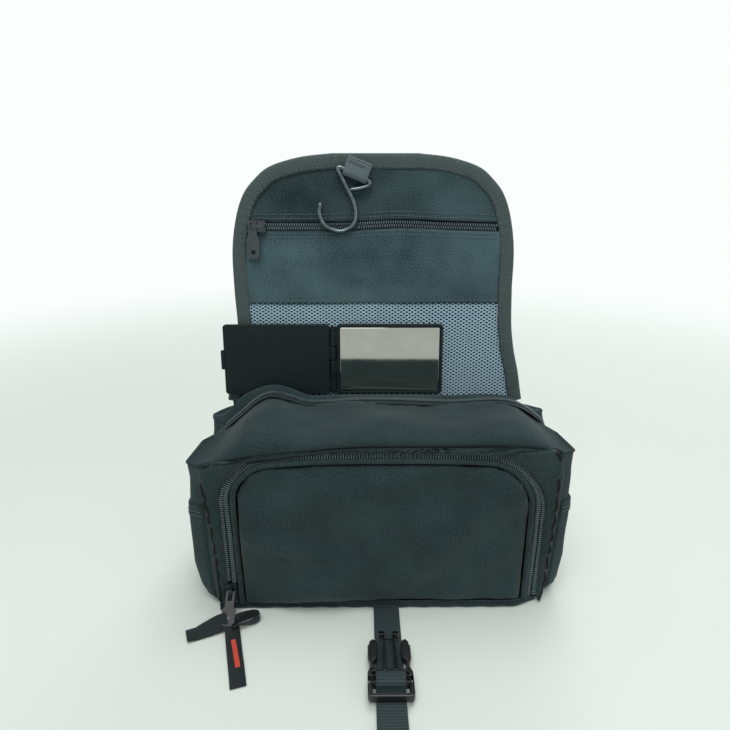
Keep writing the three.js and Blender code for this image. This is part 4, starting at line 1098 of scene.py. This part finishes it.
def main_zip_line(count=220):
    """The main zip's line: along the crest at a fixed distance back, bent down over both shoulders, further on the
    right than on the left."""
    def side_points(side, drop):
        """Points from 97.5 mm towards a height 105 mm less drop, 1.6 mm out from the wall there."""
        heights = np.linspace(97.5, 105 - drop, max(int(drop / 5), 2))
        return [[side * (float(wall_half(MAIN_ZIP_BACK, z, side)) + 1.6), z] for z in heights]
    top = [[x, z + 1.0] for x, z in CREST[1:-1]]
    line = spline(side_points(-1, 8.0)[::-1] + top + side_points(1, 24.0), count)
    return settle(upright(line, MAIN_ZIP_BACK - HALF_DEPTH))


class BAG_OT_zips(bpy.types.Operator):
    """Coil zips of the front door and of the main opening, with their tapes and sliders"""
    bl_idname = "bag.zips"
    bl_label = "Zips"

    def execute(self, context):
        tape_band("front_tape_outer", 0.2, 4.6, 4.0, "bag", "front_outer_tape")
        tape_band("front_tape_inner", -6.0, -0.2, 4.3, "pocket_door", "front_inner_tape", left_foot=21.4)
        for name, side, body, node, left in (
                ("front_teeth_outer", 1, "bag", "front_outer_coil", 4.2),
                ("front_teeth_inner", -1, "pocket_door", "front_inner_coil", 21.6)):
            line = settle(upright(zip_arch(0.0, 4.4, leg=40, bend=24, across=80, left_foot=left), TEETH_FRONT))
            front = np.broadcast_to(FRONT, line.shape)
            zip_row(name, line, -np.cross(front, directions(line)), front, side, body, node,
                    spread=1.2 + 0.6 * (1 - ease((line[:, 2] - 55) / 40)), length=3.0)
        line = main_zip_line()
        across = np.broadcast_to(FRONT, line.shape)
        out = np.cross(across, directions(line))
        out = out * np.sign(out[len(out) // 2, 2])
        for place, side, body in (("front", 1, "mouth"), ("rear", -1, "bag")):
            # The front half of the zip ends at the right shoulder
            keep = (line[:, 0] < 106) | (body == "bag")
            give(zip_row(f"main_teeth_{place}", line[keep], across[keep], out[keep], side, body, f"main_{place}_coil"))
            shift = across * side * 3.1 - out * 0.9
            give(cord(f"main_tape_{place}", (line + shift)[keep], across[keep], band(5.0, TAPE), body, "zip_tape",
                      "tape"))
        for node in ("front_slider", "main_slider", "main_pull_tab", "flap_slider", "flap_pull_tab"):
            enamelled(node, "zinc")
        enamelled("front_pull_tab", "dark_zinc")
        return {"FINISHED"}


class BAG_OT_side_pockets(bpy.types.Operator):
    """Slip pockets on both sides, with bound and double-stitched mouths"""
    bl_idname = "bag.side_pockets"
    bl_label = "Side pockets"

    def execute(self, context):
        for name, side in (("left", -1), ("right", 1)):
            def wall(back, z, out):
                """A point out from the wall by out, and by up to 1.1 mm more in the middle of the pocket."""
                x = side * (wall_half(back, z, side) + out + 1.1 * arc(z / 74) * arc((back - 4) / 60))
                return settle(joined(x, back - HALF_DEPTH, z))
            back, z = np.linspace(2.5, 62, 40)[:, None], np.linspace(6, 66, 34)[None, :]
            face = wall(back, z, 1.0 + 0.6 * folds(back / 30, z / 30, 8) * ease((back - 3) / 8))
            panel(f"{name}_pocket_cloth", face, 0.8, side * RIGHT, "bag", "body", f"{name}_slip_pocket")
            hem = wall(back, np.linspace(65, 74, 8)[None, :], 1.6)
            panel(f"{name}_pocket_hem", hem, CLOTH, side * RIGHT, "bag", "body", f"{name}_pocket_binding",
                  slot="binding")
            for k, height in enumerate((66.4, 69.0)):
                row = wall(np.linspace(3, 61, 70), np.full(70, height), 1.8)
                stitches(f"{name}_hem_stitches_{k}", row, (side, -0.2, 0.0), "thread", "bag")
        return {"FINISHED"}


# The fold-over flap

def ripple(x, z):
    """Waves of the flap's pocket cloth. Below the zip they only stand back by up to 0.4 mm."""
    wave = 1.3 * folds(x / 80, z / 50, 61) + 0.7 * folds(x / 30, z / 22, 62)
    return wave + (1 - ease((z - 88) / 8)) * (np.maximum(wave, -0.4) - wave)


def zip_wave(x):
    """How far the flap's zip and the cloth beside it rise above a straight line."""
    return 1.7 * hump(x - 14, 26) - 0.7 * ease((x - 50) / 40) - 0.3


# The binding's profile: inwards from the flap's edge, and back. It is a soft channel folded over the edge
BINDING = np.array([
    [9, -2.6], [8.8, -3.1], [6, -3.3], [2.5, -3.3], [0.8, -3.0], [-0.1, -2.0], [-0.4, -0.6], [-0.1, 0.8], [0.8, 1.5],
    [3, 1.8], [8.8, 1.8], [9, 1.5], [8.8, 1.2], [3, 1.1], [1.4, 0.8], [1.0, -0.6], [1.4, -2.2], [3, -2.6],
])


class BAG_OT_flap(bpy.types.Operator):
    """Flap cloth, its zipped pocket, its binding and all of its stitching"""
    bl_idname = "bag.flap"
    bl_label = "Flap"

    def execute(self, context):
        normal = flap_way(FRONT)
        below, above = (-3.5, FOLD - 0.1), (FOLD + 0.15, FLAP_HEIGHT)
        for name, span, inset, front, thickness, body, material, *nodes in (
                ("flap_lower_cloth", below, 0.9, -0.7, 1.4, "flap_lower", "net_back", "flap_lower_backing"),
                ("flap_upper_cloth", above, 0.9, -0.7, 1.4, "flap_upper", "lining", "flap_upper_backing"),
                ("flap_outer_low", below, 0.9, 0.75, 0.9, "flap_lower", "body"),
                ("flap_outer_high", above, 0.9, 0.75, 0.9, "flap_upper", "body"),
                ("flap_pocket_low", (FOLD + 0.4, 107.8), 1.2, -2.5, 1.2, "flap_upper", "flap", "flap_pocket_lower"),
                ("flap_pocket_high", (113.8, FLAP_HEIGHT), 1.2, -2.5, 1.2, "flap_upper", "flap_high",
                 "flap_pocket_upper")):
            pocket = name.startswith("flap_pocket")
            face = flap_grid(*span, inset, front, 50, 110, ripple if pocket else None)
            if pocket:
                # Each pocket panel follows the zip's wave at its edge beside the zip
                ends = (0, 1) if name == "flap_pocket_low" else (1, 0)
                face[..., 2] += zip_wave(face[..., 0]) * np.linspace(*ends, 50)[:, None] ** 3
            panel(name, face, thickness, normal, body, material, *nodes)

        edge = flap_edge(0.0, 240)
        edge = edge[edge[:, 1] > 0.2]
        edge = np.concatenate([[[edge[0, 0] + 1.0, -4.0]], edge])
        edge = np.concatenate([edge, (edge * (-1, 1))[::-1]])
        path = flap_line(edge[:, 0], edge[:, 1], 0.0)
        inwards = np.cross(normal, directions(path))
        middle = len(path) // 2
        inwards = inwards * np.sign(np.dot(inwards[middle], on_flap((FLAP_SHIFT, 0, 80.0)) - path[middle]))
        up = np.cross(inwards[0], directions(path)[0])
        shape = BINDING * (1, np.sign(np.dot(up, -normal)))
        across_fold = ("flap_lower", "flap_upper", on_flap((FLAP_SHIFT, 0, FOLD - 5)) * MM,
                       on_flap((FLAP_SHIFT, 0, FOLD + 5)) * MM)
        cord("flap_binding_edge", path, inwards, shape, across_fold, "binding", "binding", "flap_binding",
             "flap_lower_binding_right", "flap_lower_binding_left", scale=1 + 0.02 * np.sin(np.arange(len(path)) * 0.9))

        # Stitching along the binding's inner edge, above the fold and beside the zip
        pitch = sizes()["stitch"]

        def row(name, points, body, front=-3.35):
            """Stitches along x, z points of the flap, at y = front."""
            stitches(name, flap_line(points[:, 0], points[:, 1], front), normal, "thread", body, pitch)

        inner = flap_edge(7.6, 240)
        top = inner[inner[:, 1] > FOLD + 1]
        row("binding_stitches_high", np.concatenate([top, (top * (-1, 1))[::-1]]), "flap_upper")
        x = np.linspace(-1, 1, 90) * edge_at(10, FOLD + 2.4)
        row("fold_stitches", joined(x, FOLD + 2.4), "flap_upper", -2.85)
        foot = inner[(inner[:, 1] > 4) & (inner[:, 1] < FOLD - 1)]
        row("binding_stitches_right", foot, "flap_lower")
        row("binding_stitches_left", foot * (-1, 1), "flap_lower")
        for k, height in enumerate((104.0, 106.4, 115.6, 118.2)):
            half = edge_at(10, height)
            x = drawn_in(np.linspace(-half, half, 100), height)
            path = on_flap(joined(FLAP_SHIFT + x, -2.75 + ripple(x, height), height + zip_wave(x)))
            stitches(f"flap_zip_stitches_{k}", path, normal, "thread", "flap_upper", 2.4)

        # The flap's zip: two rows of loops on a dark tape
        half = edge_at(9.6, FLAP_ZIP)
        x = drawn_in(np.linspace(-half, half, 160), FLAP_ZIP)
        line = on_flap(joined(FLAP_SHIFT + x, -2.6, FLAP_ZIP + 0.1 + zip_wave(x)))
        across = np.broadcast_to(flap_way(UP), line.shape)
        front = np.broadcast_to(normal, line.shape)
        zip_row("flap_teeth_0", line, across, front, -1, "flap_upper", "flap_zip_coil")
        zip_row("flap_teeth_1", line, across, front, 1, "flap_upper")
        panel("flap_zip_tape", flap_grid(105.8, 116.4, 9.6, -1.7, 6), TAPE, normal, "flap_upper", "tape",
              slot="zip_tape")

        # The ridge of cloth that joins the flap to the bag: a thin upright fold in line with the flap
        x = np.linspace(-102, 91, 90)
        path = on_flap(joined(x, 1.4 + 0.25 * np.sin(x / 11), -9.2))
        cord("flap_seam_cloth", path, flap_way(UP), band(10.6, 1.3), "bag", "binding", "body", "flap_seam_ridge")
        return {"FINISHED"}


class BAG_OT_net(bpy.types.Operator):
    """Net pocket on the lower half of the flap"""
    bl_idname = "bag.net"
    bl_label = "Net pocket"

    def execute(self, context):
        size = sizes()
        a, b = size["net_width"] / 2, size["net_height"] / 2
        low, high = -3.0, FOLD + 0.2
        columns = int(2 * FLAP_HALF * 1.1 / (2 * a))
        i, j = np.meshgrid(np.arange(columns), np.arange(int((high - low) / b)), indexing="ij")
        x = (i - columns / 2 + 0.5 * (j % 2)) * 2 * a
        z = low + b + j * b
        keep = (np.abs(x) < edge_at(5.6, z) - a) & (z < high - b / 2)
        places = joined(x[keep], 0.0, z[keep])
        # A lozenge is a closed ring of yarn: four corners on its cell's edge, raised at the middle, down to the hole
        corners = np.array([[1, 0], [0, 1], [-1, 0], [0, -1.0]]) * (a, b)
        cell = np.concatenate([upright(corners * share, y)
                               for share, y in ((1.0, 0.0), (0.86, -0.4), (0.62, -0.2), (0.7, 0.22))])
        points = places[:, None] + cell[None]
        x, z = points[..., 0], points[..., 2]
        middle = arc((z - low) / (high - low))
        bulge = 1.2 * middle + 0.9 * folds(x / 50, z / 50, 77)
        sway = 1.1 * folds(x / 60, z / 30, 78) * middle
        fade = 1 - np.clip(np.abs(x) / edge_at(8.6, z), 0, 1) ** 6
        flat = on_flap(joined(x + FLAP_SHIFT, points[..., 1] - 1.6 - np.maximum(bulge, 0) * fade, z + sway))
        faces = tube_quads(4, 4, around=True)[None] + (np.arange(len(places)) * 16)[:, None, None]
        piece = mesh_object("net_yarn", flat.reshape(-1, 3), faces.reshape(-1, 4), np.zeros((z.size, 2)))
        dressed(piece, "flap_lower", "net", "net", "net_pocket")
        return {"FINISHED"}


# The wire's line from its end behind the tab round the hook and back, as shares of 40 mm from its seat
HOOK_SHARES = np.array([
    [-0.52, -0.42], [-0.545, -0.555], [-0.527, -0.65], [-0.467, -0.76], [-0.352, -0.835], [-0.23, -0.868],
    [-0.11, -0.838], [-0.015, -0.765], [0.03, -0.635], [0, -0.43], [-0.11, -0.2], [-0.225, 0.03], [-0.25, 0.085],
    [-0.2, 0.09], [-0.17, 0.076], [0, 0], [0.17, -0.076], [0.21, -0.094], [0.25, -0.135], [0.2, -0.19],
    [0.07, -0.222], [-0.085, -0.24],
])


class BAG_OT_hook(bpy.types.Operator):
    """Bent wire hook and the webbing tab that carries it"""
    bl_idname = "bag.hook"
    bl_label = "Hook"

    def execute(self, context):
        seat = np.array([-13.7 + FLAP_SHIFT, -5.6, 142.0])
        path = on_flap(seat + upright(spline(HOOK_SHARES * 40, 260), 0.0))
        rounding = np.sin(np.arccos(np.clip(1 - np.arange(260) / 5, 0, 1)))
        cord("hook_wire", path, flap_way(FRONT), circle(1.4, 14), "hook", "black_metal", "wire", "hook",
             scale=np.minimum(rounding, rounding[::-1]) + 0.02)

        # The tab: webbing up the flap, round the wire and back up behind it
        turn = math.radians(21)
        a = np.linspace(0, math.pi, 12)
        r = 2.35
        line = np.concatenate([[[-r - 0.1, 7.2], [-r, 5.0], [-r, 2.6]], joined(-r * np.cos(a), -r * np.sin(a)),
                               [[r, 3.0], [r - 0.4, 6], [r - 0.5, 9.5]]])
        line = spline(line, 60)
        side = np.array([math.cos(turn), 0, -math.sin(turn)])
        high = np.array([math.sin(turn), 0, math.cos(turn)])
        path = seat + 1.2 * side + line[:, :1] * BACK + line[:, 1:] * high
        cord("hook_tab", on_flap(path), flap_way(side), band(WEBBING_WIDTH, 1.3), "flap_upper", "webbing", "tab",
             "hook_webbing")
        for k, rise in enumerate((5.2, 6.4)):
            row = seat + np.linspace(-5.8, 5.8, 20)[:, None] * side + rise * high + (r + 0.75) * FRONT
            stitches(f"hook_tab_stitches_{k}", on_flap(row), flap_way(FRONT), "dark_thread", "flap_upper", 1.6, 1.2,
                     0.16)
        return {"FINISHED"}


class BAG_OT_mirror(bpy.types.Operator):
    """Folding mirror: silvered leaf, cover with its catch, and the hinge between them"""
    bl_idname = "bag.mirror"
    bl_label = "Mirror"

    def execute(self, context):
        def place(points):
            """Points from the hinge's foot, set on the flap."""
            return on_flap(points + (-27.8 + FLAP_SHIFT, -3.2, 1.0))

        def leaf(inset):
            """The outline of the mirror's leaf, moved inwards by inset."""
            return rounded_rectangle(2.4, 72.4, 0, 47, 2.0, inset=inset)

        def opening(outset):
            """The outline of the opening for the glass, moved outwards by outset."""
            return rounded_rectangle(4.3, 70.5, 1.9, 45.1, 1.0, inset=-outset)

        steps = [(leaf(0.5), -4.2), (leaf(0.12), -4.08), (leaf(0), -3.7), (leaf(0), -0.5), (leaf(0.5), 0),
                 (opening(0.0), 0), (opening(0.0), -3.6), (opening(0.15), -4.05), (opening(0.5), -4.2)]
        piece = loft("mirror_leaf", [place(upright(ring, y)) for ring, y in steps], around=True)
        dressed(piece, "mirror", "mirror_shell", "shell", "mirror_frame")
        # Name, x and z limits, corner radius, front, back, bevel, body, and the CAD node
        plates = [
            ("mirror_backing", (4.2, 70.6, 1.8, 45.2), 1.0, -1.6, -0.2, 0.2, "mirror"),
            ("mirror_pane", (4.6, 70.2, 2.2, 44.8), 0.9, -3.7, -2.6, 0.2, "mirror", "mirror_glass"),
            ("cover_leaf", (-72.4, -2.4, 0, 47), 2.0, -4.2, -0.6, 0.5, "mirror_cover", "mirror_cover"),
            ("cover_catch", (-74.4, -71.0, 17, 30), 0.8, -4.2, -2.4, 0.3, "mirror_cover"),
            ("cover_rebate", (-69.4, -5.6, 3.0, 44.0), 1.2, -4.45, -4.0, 0.2, "mirror_cover"),
            ("hinge_spine", (-2.2, 2.2, 1.5, 45.5), 0.8, -2.4, -0.4, 0.3, "mirror"),
        ]
        turn = np.linspace(0, 2 * math.pi, 19)[:-1]
        for k, body in enumerate(("mirror", "mirror_cover", "mirror")):
            foot = 14 + k * 9.3
            rings = [place(joined(r * np.cos(turn), -4.5 + r * np.sin(turn), foot + rise))
                     for r, rise in ((1.2, 0), (1.55, 0.25), (1.7, 0.7), (1.7, 8.3), (1.55, 8.75), (1.2, 9))]
            dressed(loft(f"hinge_knuckle_{k}", rings), body, "mirror_shell", "shell")
            reach = (-3.6, -0.4) if k == 1 else (0.4, 3.6)
            plates.append((f"hinge_lug_{k}", (*reach, foot + 0.2, foot + 8.8), 0.5, -4.0, -2.6, 0.25, body))
        for name, box, radius, front, back, bevel, body, *nodes in plates:
            slot, material = ("silvered_glass", "glass") if name == "mirror_pane" else ("mirror_shell", "shell")
            dressed(plate(name, box, radius, front, back, bevel, place), body, slot, material, *nodes)
        enamelled("mirror_hinge_pin", "zinc")
        return {"FINISHED"}


class BAG_OT_strap(bpy.types.Operator):
    """Front strap with the plug half of its side-release buckle"""
    bl_idname = "bag.strap"
    bl_label = "Strap and buckle"

    def execute(self, context):
        # The strap's middle and root, and the plug's lower face, upper face and half-width
        x, y, low, high, half = 1.6, -HALF_DEPTH, 3.85, 8.65, 12.3
        line = [[-0.5, 1.0], [-20, 1.0], [-45, 1.05], [-75, 1.0], [-97, 1.0], [-99.3, 2.2], [-97, 3.0], [-82, 2.8],
                [-70, 2.9], [-63.6, 4.0], [-61.8, 6.4], [-61.4, 8.8], [-59.6, 9.9], [-56.6, 9.9], [-54.8, 8.8],
                [-54.5, 6.4], [-54.4, 5.2]]
        curve = spline(line, 220)
        cord("strap_webbing", joined(x, y + curve[:, 0], curve[:, 1]), RIGHT, band(WEBBING_WIDTH, WEBBING), "strap",
             "webbing", "webbing", "front_strap")

        for name, span, hole, *nodes in (
                ("ladder_near", (y - 56.4, y - 51.8), (y - 56.0, y - 53.0), "buckle_plug"),
                ("ladder_far", (y - 68.2, y - 59.6), (y - 65.8, y - 60.2))):
            rings = [level(rounded_rectangle(x - half, x + half, *span, 2.2, inset=inset), z) for inset, z in (
                (0.7, low), (0.15, low + 0.15), (0, low + 0.7), (0, high - 0.7), (0.15, high - 0.15), (0.7, high))]
            inner = half - 2.4
            rings += [level(rounded_rectangle(x - inner, x + inner, *hole, 0.8, inset=inset), z) for inset, z in (
                (-0.5, high), (0, high - 0.6), (0, low + 0.6), (-0.5, low))]
            dressed(loft(name, rings, around=True), "strap", "buckle_plastic", "acetal", *nodes)

        def moulding(name, side, near, far, y0, y1, rise, drop, radius, bevel, body="strap"):
            """A block on one side of the strap's middle, rise above the plug's lower face and drop below its upper."""
            box = (*sorted((x + side * near, x + side * far)), y + y0, y + y1)
            block(name, box, low + rise, high - drop, radius, bevel, body)

        moulding("ladder_bar", 1, 1.5 - half, half - 1.5, -60.1, -56.1, 0.3, 0.1, 0.9, 0.6)
        moulding("plug_tongue", 1, -3.7, 3.7, -52.6, -29.5, 0.3, 3.3, 1.0, 0.4)
        t = np.linspace(0, 1, 40)
        edge = half - 0.3 - np.interp(t, [0, 0.12, 0.3, 0.6, 0.9, 1], [0.5, 1.4, 0.4, 0, 0.9, 2.2])
        width = np.interp(t, [0, 0.12, 0.24, 0.36, 0.6, 0.85, 0.95, 1], [3.4, 1.9, 2.2, 4.6, 5.4, 4.6, 3.0, 0.8])
        lift = np.interp(t, [0, 0.25, 0.9, 1], [0.3, 0, 0, 0.8])
        for k, (side, name) in enumerate(((-1, "left"), (1, "right"))):
            moulding(f"ladder_rail_{k}", side, half - 2.6, half, -66, -53.5, 0.2, 0.2, 0.8, 0.5)
            moulding(f"tongue_rail_{k}", side, 2.1, 3.9, -53, -27.4, 1.0, 0.1, 0.7, 0.4)
            moulding(f"tongue_hook_{k}", side, 2.1, 5.9, -29.0, -26.6, 1.0, 0.3, 1.0, 0.4)
            rings = []
            for e, w, rise, away in zip(edge, width, lift, -51.5 + 19.6 * t):
                flat = rounded_rectangle(e - w, e, low + rise, high - rise, min(0.9, w * 0.4))
                rings.append(joined(x + side * flat[:, 0], y + away, flat[:, 1]))
            body = f"prong_{name}"
            dressed(loft(body, rings), body, "buckle_plastic", "acetal", f"buckle_prong_{name}")
            for n in range(4):
                grip = -44.0 + 2.4 * n
                moulding(f"grip_{name}_{n}", side, half - 1.3, half - 0.2, grip, grip + 1.1, 0.9, 0.9, 0.4, 0.2, body)
        return {"FINISHED"}


class BAG_OT_socket(bpy.types.Operator):
    """Buckle socket that hangs behind the flap on its short strap"""
    bl_idname = "bag.socket"
    bl_label = "Buckle socket"

    def execute(self, context):
        top = on_flap((FLAP_SHIFT, 2.6, 148.0))
        z = np.linspace(0, -37, 40)
        path = top + joined(0.0, 0.15 * np.sin(z / 6), z)
        cord("socket_webbing", path, RIGHT, band(WEBBING_WIDTH, WEBBING), "socket", "webbing", "webbing",
             "socket_strap")
        # Down the outside of the shell, over its lip and up its inside
        steps = [(0.8, -62), (0.2, -61.6), (0, -60.8), (0.2, -56), (0, -40), (0.4, -37.2), (1.2, -36.3),
                 (1.8, -36.9), (1.7, -44), (1.6, -60.6), (1.2, -61.8)]
        rings = [top + level(rounded_rectangle(-12.3, 12.3, -0.7, 8.7, 2.6, inset=inset), z) for inset, z in steps]
        piece = loft("socket_shell", rings, around=True)
        dressed(piece, "socket", "buckle_plastic", "acetal", "buckle_socket")
        return {"FINISHED"}


class BAG_OT_ribbons(bpy.types.Operator):
    """Ribbons knotted through the front pull, with a sewn bar of red thread"""
    bl_idname = "bag.ribbons"
    bl_label = "Pull ribbons"

    def execute(self, context):
        # Each ribbon: its line, its width, its tilt along the line in degrees, where 90 stands on edge, and its node
        for name, points, width, turn, node in (
                ("ribbon_front", [[-93.2, -50.5, 2.6], [-91.2, -55, 1.2], [-88.6, -63.5, 0.2], [-86.0, -72, 0.35],
                                  [-83.0, -81.5, 0.15], [-80.1, -91.2, 0.1]],
                 9.0, (10, 0, 0, 0, 0), "pull_ribbon_front"),
                ("ribbon_side", [[-94.6, -51.5, 1.6], [-99, -52, 0.9], [-106, -53.6, 0.3], [-112.5, -55.8, 0.2],
                                 [-117.8, -58, 0.3]],
                 9.8, (62, 48, 20, 0, -6), "pull_ribbon_side"),
                ("ribbon_wing", [[-92, -53.2, 1.4], [-86.5, -51.4, 0.2], [-80.5, -49.6, 0], [-77.0, -46.8, 0],
                                 [-77.2, -43.9, 0], [-80.6, -43.2, 0.2], [-86.5, -45.8, 0.8], [-92, -50, 2.0]],
                 5.6, (30, 55, 75, 88, 90, 85, 70, 50), "pull_ribbon_loop")):
            line = spline(points, 90)
            angle = np.radians(np.interp(np.linspace(0, 1, 90), np.linspace(0, 1, len(turn)), turn))[:, None]
            line[:, 2] += width / 2 * np.abs(np.sin(angle[:, 0])) + 0.55
            across = np.cross(directions(line), UP) * np.cos(angle) + UP * np.sin(angle)
            cord(name, line, across, band(width, 0.8), "front_pull", "ribbon", "ribbon", node)
        # Four rows of red thread side by side along the front ribbon
        along = unit(np.array([6.7, -18.6, 0]))
        t = np.linspace(0, 19.6, 30)[:, None]
        for k, shift in enumerate((-1.0, -0.35, 0.35, 1.0)):
            row = np.array([-89.3, -61.0, 1.5]) + along * t + np.cross(along, UP) * shift
            stitches(f"bartack_{k}", row, UP, "bartack", "front_pull", 1.4, 1.7, 0.36, 0.1)
        return {"FINISHED"}


WHITE, SOFT_LIGHT = "#FAFFFD", "#EAF1EE"
# Each lamp in metres: its name, place, the point it shines at, width, power in watts and colour
LAMPS = (
    ("key", (-0.15, -0.6, 1.35), (0, 0, 0.1), 0.9, 9.4, (1.0, 1.0, 0.98)),
    ("fill", (1.2, -0.9, 0.9), (0, 0, 0.12), 1.4, 3.0, (0.97, 1.0, 1.0)),
    ("top", (0.2, 0.25, 1.7), (0, 0.0, 0.1), 0.9, 7.1, (1.0, 1.0, 1.0)),
    ("back", (0.5, 1.2, 1.1), (0, 0.0, 0.12), 1.0, 4.4, (0.98, 1.0, 1.0)),
)


class BAG_OT_stage(bpy.types.Operator):
    """Table, backdrop, soft lamps and the camera"""
    bl_idname = "bag.stage"
    bl_label = "Stage"

    def execute(self, context):
        scene = context.scene
        colours = scene.bag_colours
        # A wide sheet of paper. Near the bag it is lit and keeps the shadow, and further out it fades to white
        x = np.linspace(-6000, 6000, 9)
        grid = joined(x[:, None], x[None, :], -0.4)
        paper = mesh_object("paper_sheet", grid.reshape(-1, 3), grid_quads(9, 9))
        material, (lit, end) = matt_sheet(
            "Matt white paper", colours.floor, 0.985, (0.3, 2.0, 0.5), (0.004, 3.0, 0.6))
        tree = material.node_tree
        reach = add_node(tree, "ShaderNodeVectorMath", {0: object_place(tree)}, operation="LENGTH").outputs["Value"]
        fade = add_node(tree, "ShaderNodeMapRange", {"Value": reach, "From Min": 0.3, "From Max": 1.05},
                        interpolation_type="SMOOTHSTEP").outputs[0]
        white = add_node(tree, "ShaderNodeEmission", {"Color": linear(WHITE), "Strength": 1.0}).outputs[0]
        share = maths(tree, "MULTIPLY", seen_directly(tree), fade)
        mixed = add_node(tree, "ShaderNodeMixShader", {0: share, 1: lit, 2: white})
        tree.links.new(mixed.outputs[0], end)
        paper.data.materials.append(material)

        # A dark board low in front of the bag, outside the picture, which the lower half of the mirror shows
        corners = np.array([[-500, -900, 0], [900, -900, 0], [900, -900, 78], [-500, -900, 86.0]])
        board = mesh_object("board", corners, np.array([[0, 1, 2, 3]]))
        board.data.materials.append(matt_sheet("Dark card", colours.card, 0.6, (0.05, 3.0, 0.5), (0.004,))[0])
        board.visible_camera = False

        for name, place, aim, size, power, colour in LAMPS:
            lamp = bpy.data.lights.new(name, "AREA")
            lamp.shape, lamp.size, lamp.energy, lamp.color = "DISK", size, power, colour
            item = bpy.data.objects.new(name, lamp)
            item.location = place
            way = np.array(aim) - np.array(place)
            flat = math.hypot(way[0], way[1])
            item.rotation_euler = (math.atan2(flat, -way[2]), 0, math.atan2(way[1], way[0]) - math.pi / 2)
            scene.collection.objects.link(item)
        world = bpy.data.worlds.new("Studio")
        world.use_nodes = True
        tree = world.node_tree
        tree.nodes.clear()
        soft = add_node(tree, "ShaderNodeBackground", {"Color": linear(SOFT_LIGHT), "Strength": 0.29}).outputs[0]
        shown = add_node(tree, "ShaderNodeBackground", {"Color": linear(WHITE), "Strength": 1.0}).outputs[0]
        mixed = add_node(tree, "ShaderNodeMixShader", {0: seen_directly(tree), 1: soft, 2: shown})
        add_node(tree, "ShaderNodeOutputWorld", {"Surface": mixed.outputs[0]})
        scene.world = world

        camera = bpy.data.cameras.new("Camera")
        camera.lens, camera.sensor_width = CAMERA_LENS, CAMERA_SENSOR
        item = bpy.data.objects.new("Camera", camera)
        item.location = CAMERA_PLACE
        item.rotation_euler = (math.radians(CAMERA_TILT), 0, math.radians(CAMERA_TURN))
        scene.collection.objects.link(item)
        scene.camera = item
        scene.view_settings.view_transform = "Standard"
        return {"FINISHED"}


class BAG_PT_panel(bpy.types.Panel):
    """Sizes, colours and the buttons that make each group of pieces"""
    bl_idname = "BAG_PT_panel"
    bl_label = "Toiletry bag"
    bl_space_type = "VIEW_3D"
    bl_region_type = "UI"
    bl_category = "Toiletry bag"

    def draw(self, context):
        for group in (context.scene.bag_sizes, context.scene.bag_colours):
            for key in keys_of(group):
                self.layout.prop(group, key)
        for operator in OPERATORS:
            self.layout.operator(operator.bl_idname)


OPERATORS = (
    BAG_OT_stage, BAG_OT_shell, BAG_OT_top, BAG_OT_door, BAG_OT_zips, BAG_OT_side_pockets, BAG_OT_flap, BAG_OT_net,
    BAG_OT_hook, BAG_OT_mirror, BAG_OT_strap, BAG_OT_socket, BAG_OT_ribbons,
)
CLASSES = (BagSizes, BagColours, *OPERATORS, BAG_PT_panel)


def register():
    """Adds the classes and the user's values."""
    for item in CLASSES:
        bpy.utils.register_class(item)
    bpy.types.Scene.bag_sizes = bpy.props.PointerProperty(type=BagSizes)
    bpy.types.Scene.bag_colours = bpy.props.PointerProperty(type=BagColours)


def unregister():
    """Takes the user's values and the classes away again."""
    del bpy.types.Scene.bag_sizes
    del bpy.types.Scene.bag_colours
    for item in reversed(CLASSES):
        bpy.utils.unregister_class(item)


def main():
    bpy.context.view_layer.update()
    register()
    for operator in OPERATORS:
        group, name = operator.bl_idname.split(".")
        getattr(getattr(bpy.ops, group), name)()
    bpy.context.view_layer.update()


if __name__ == "__main__":
    main()
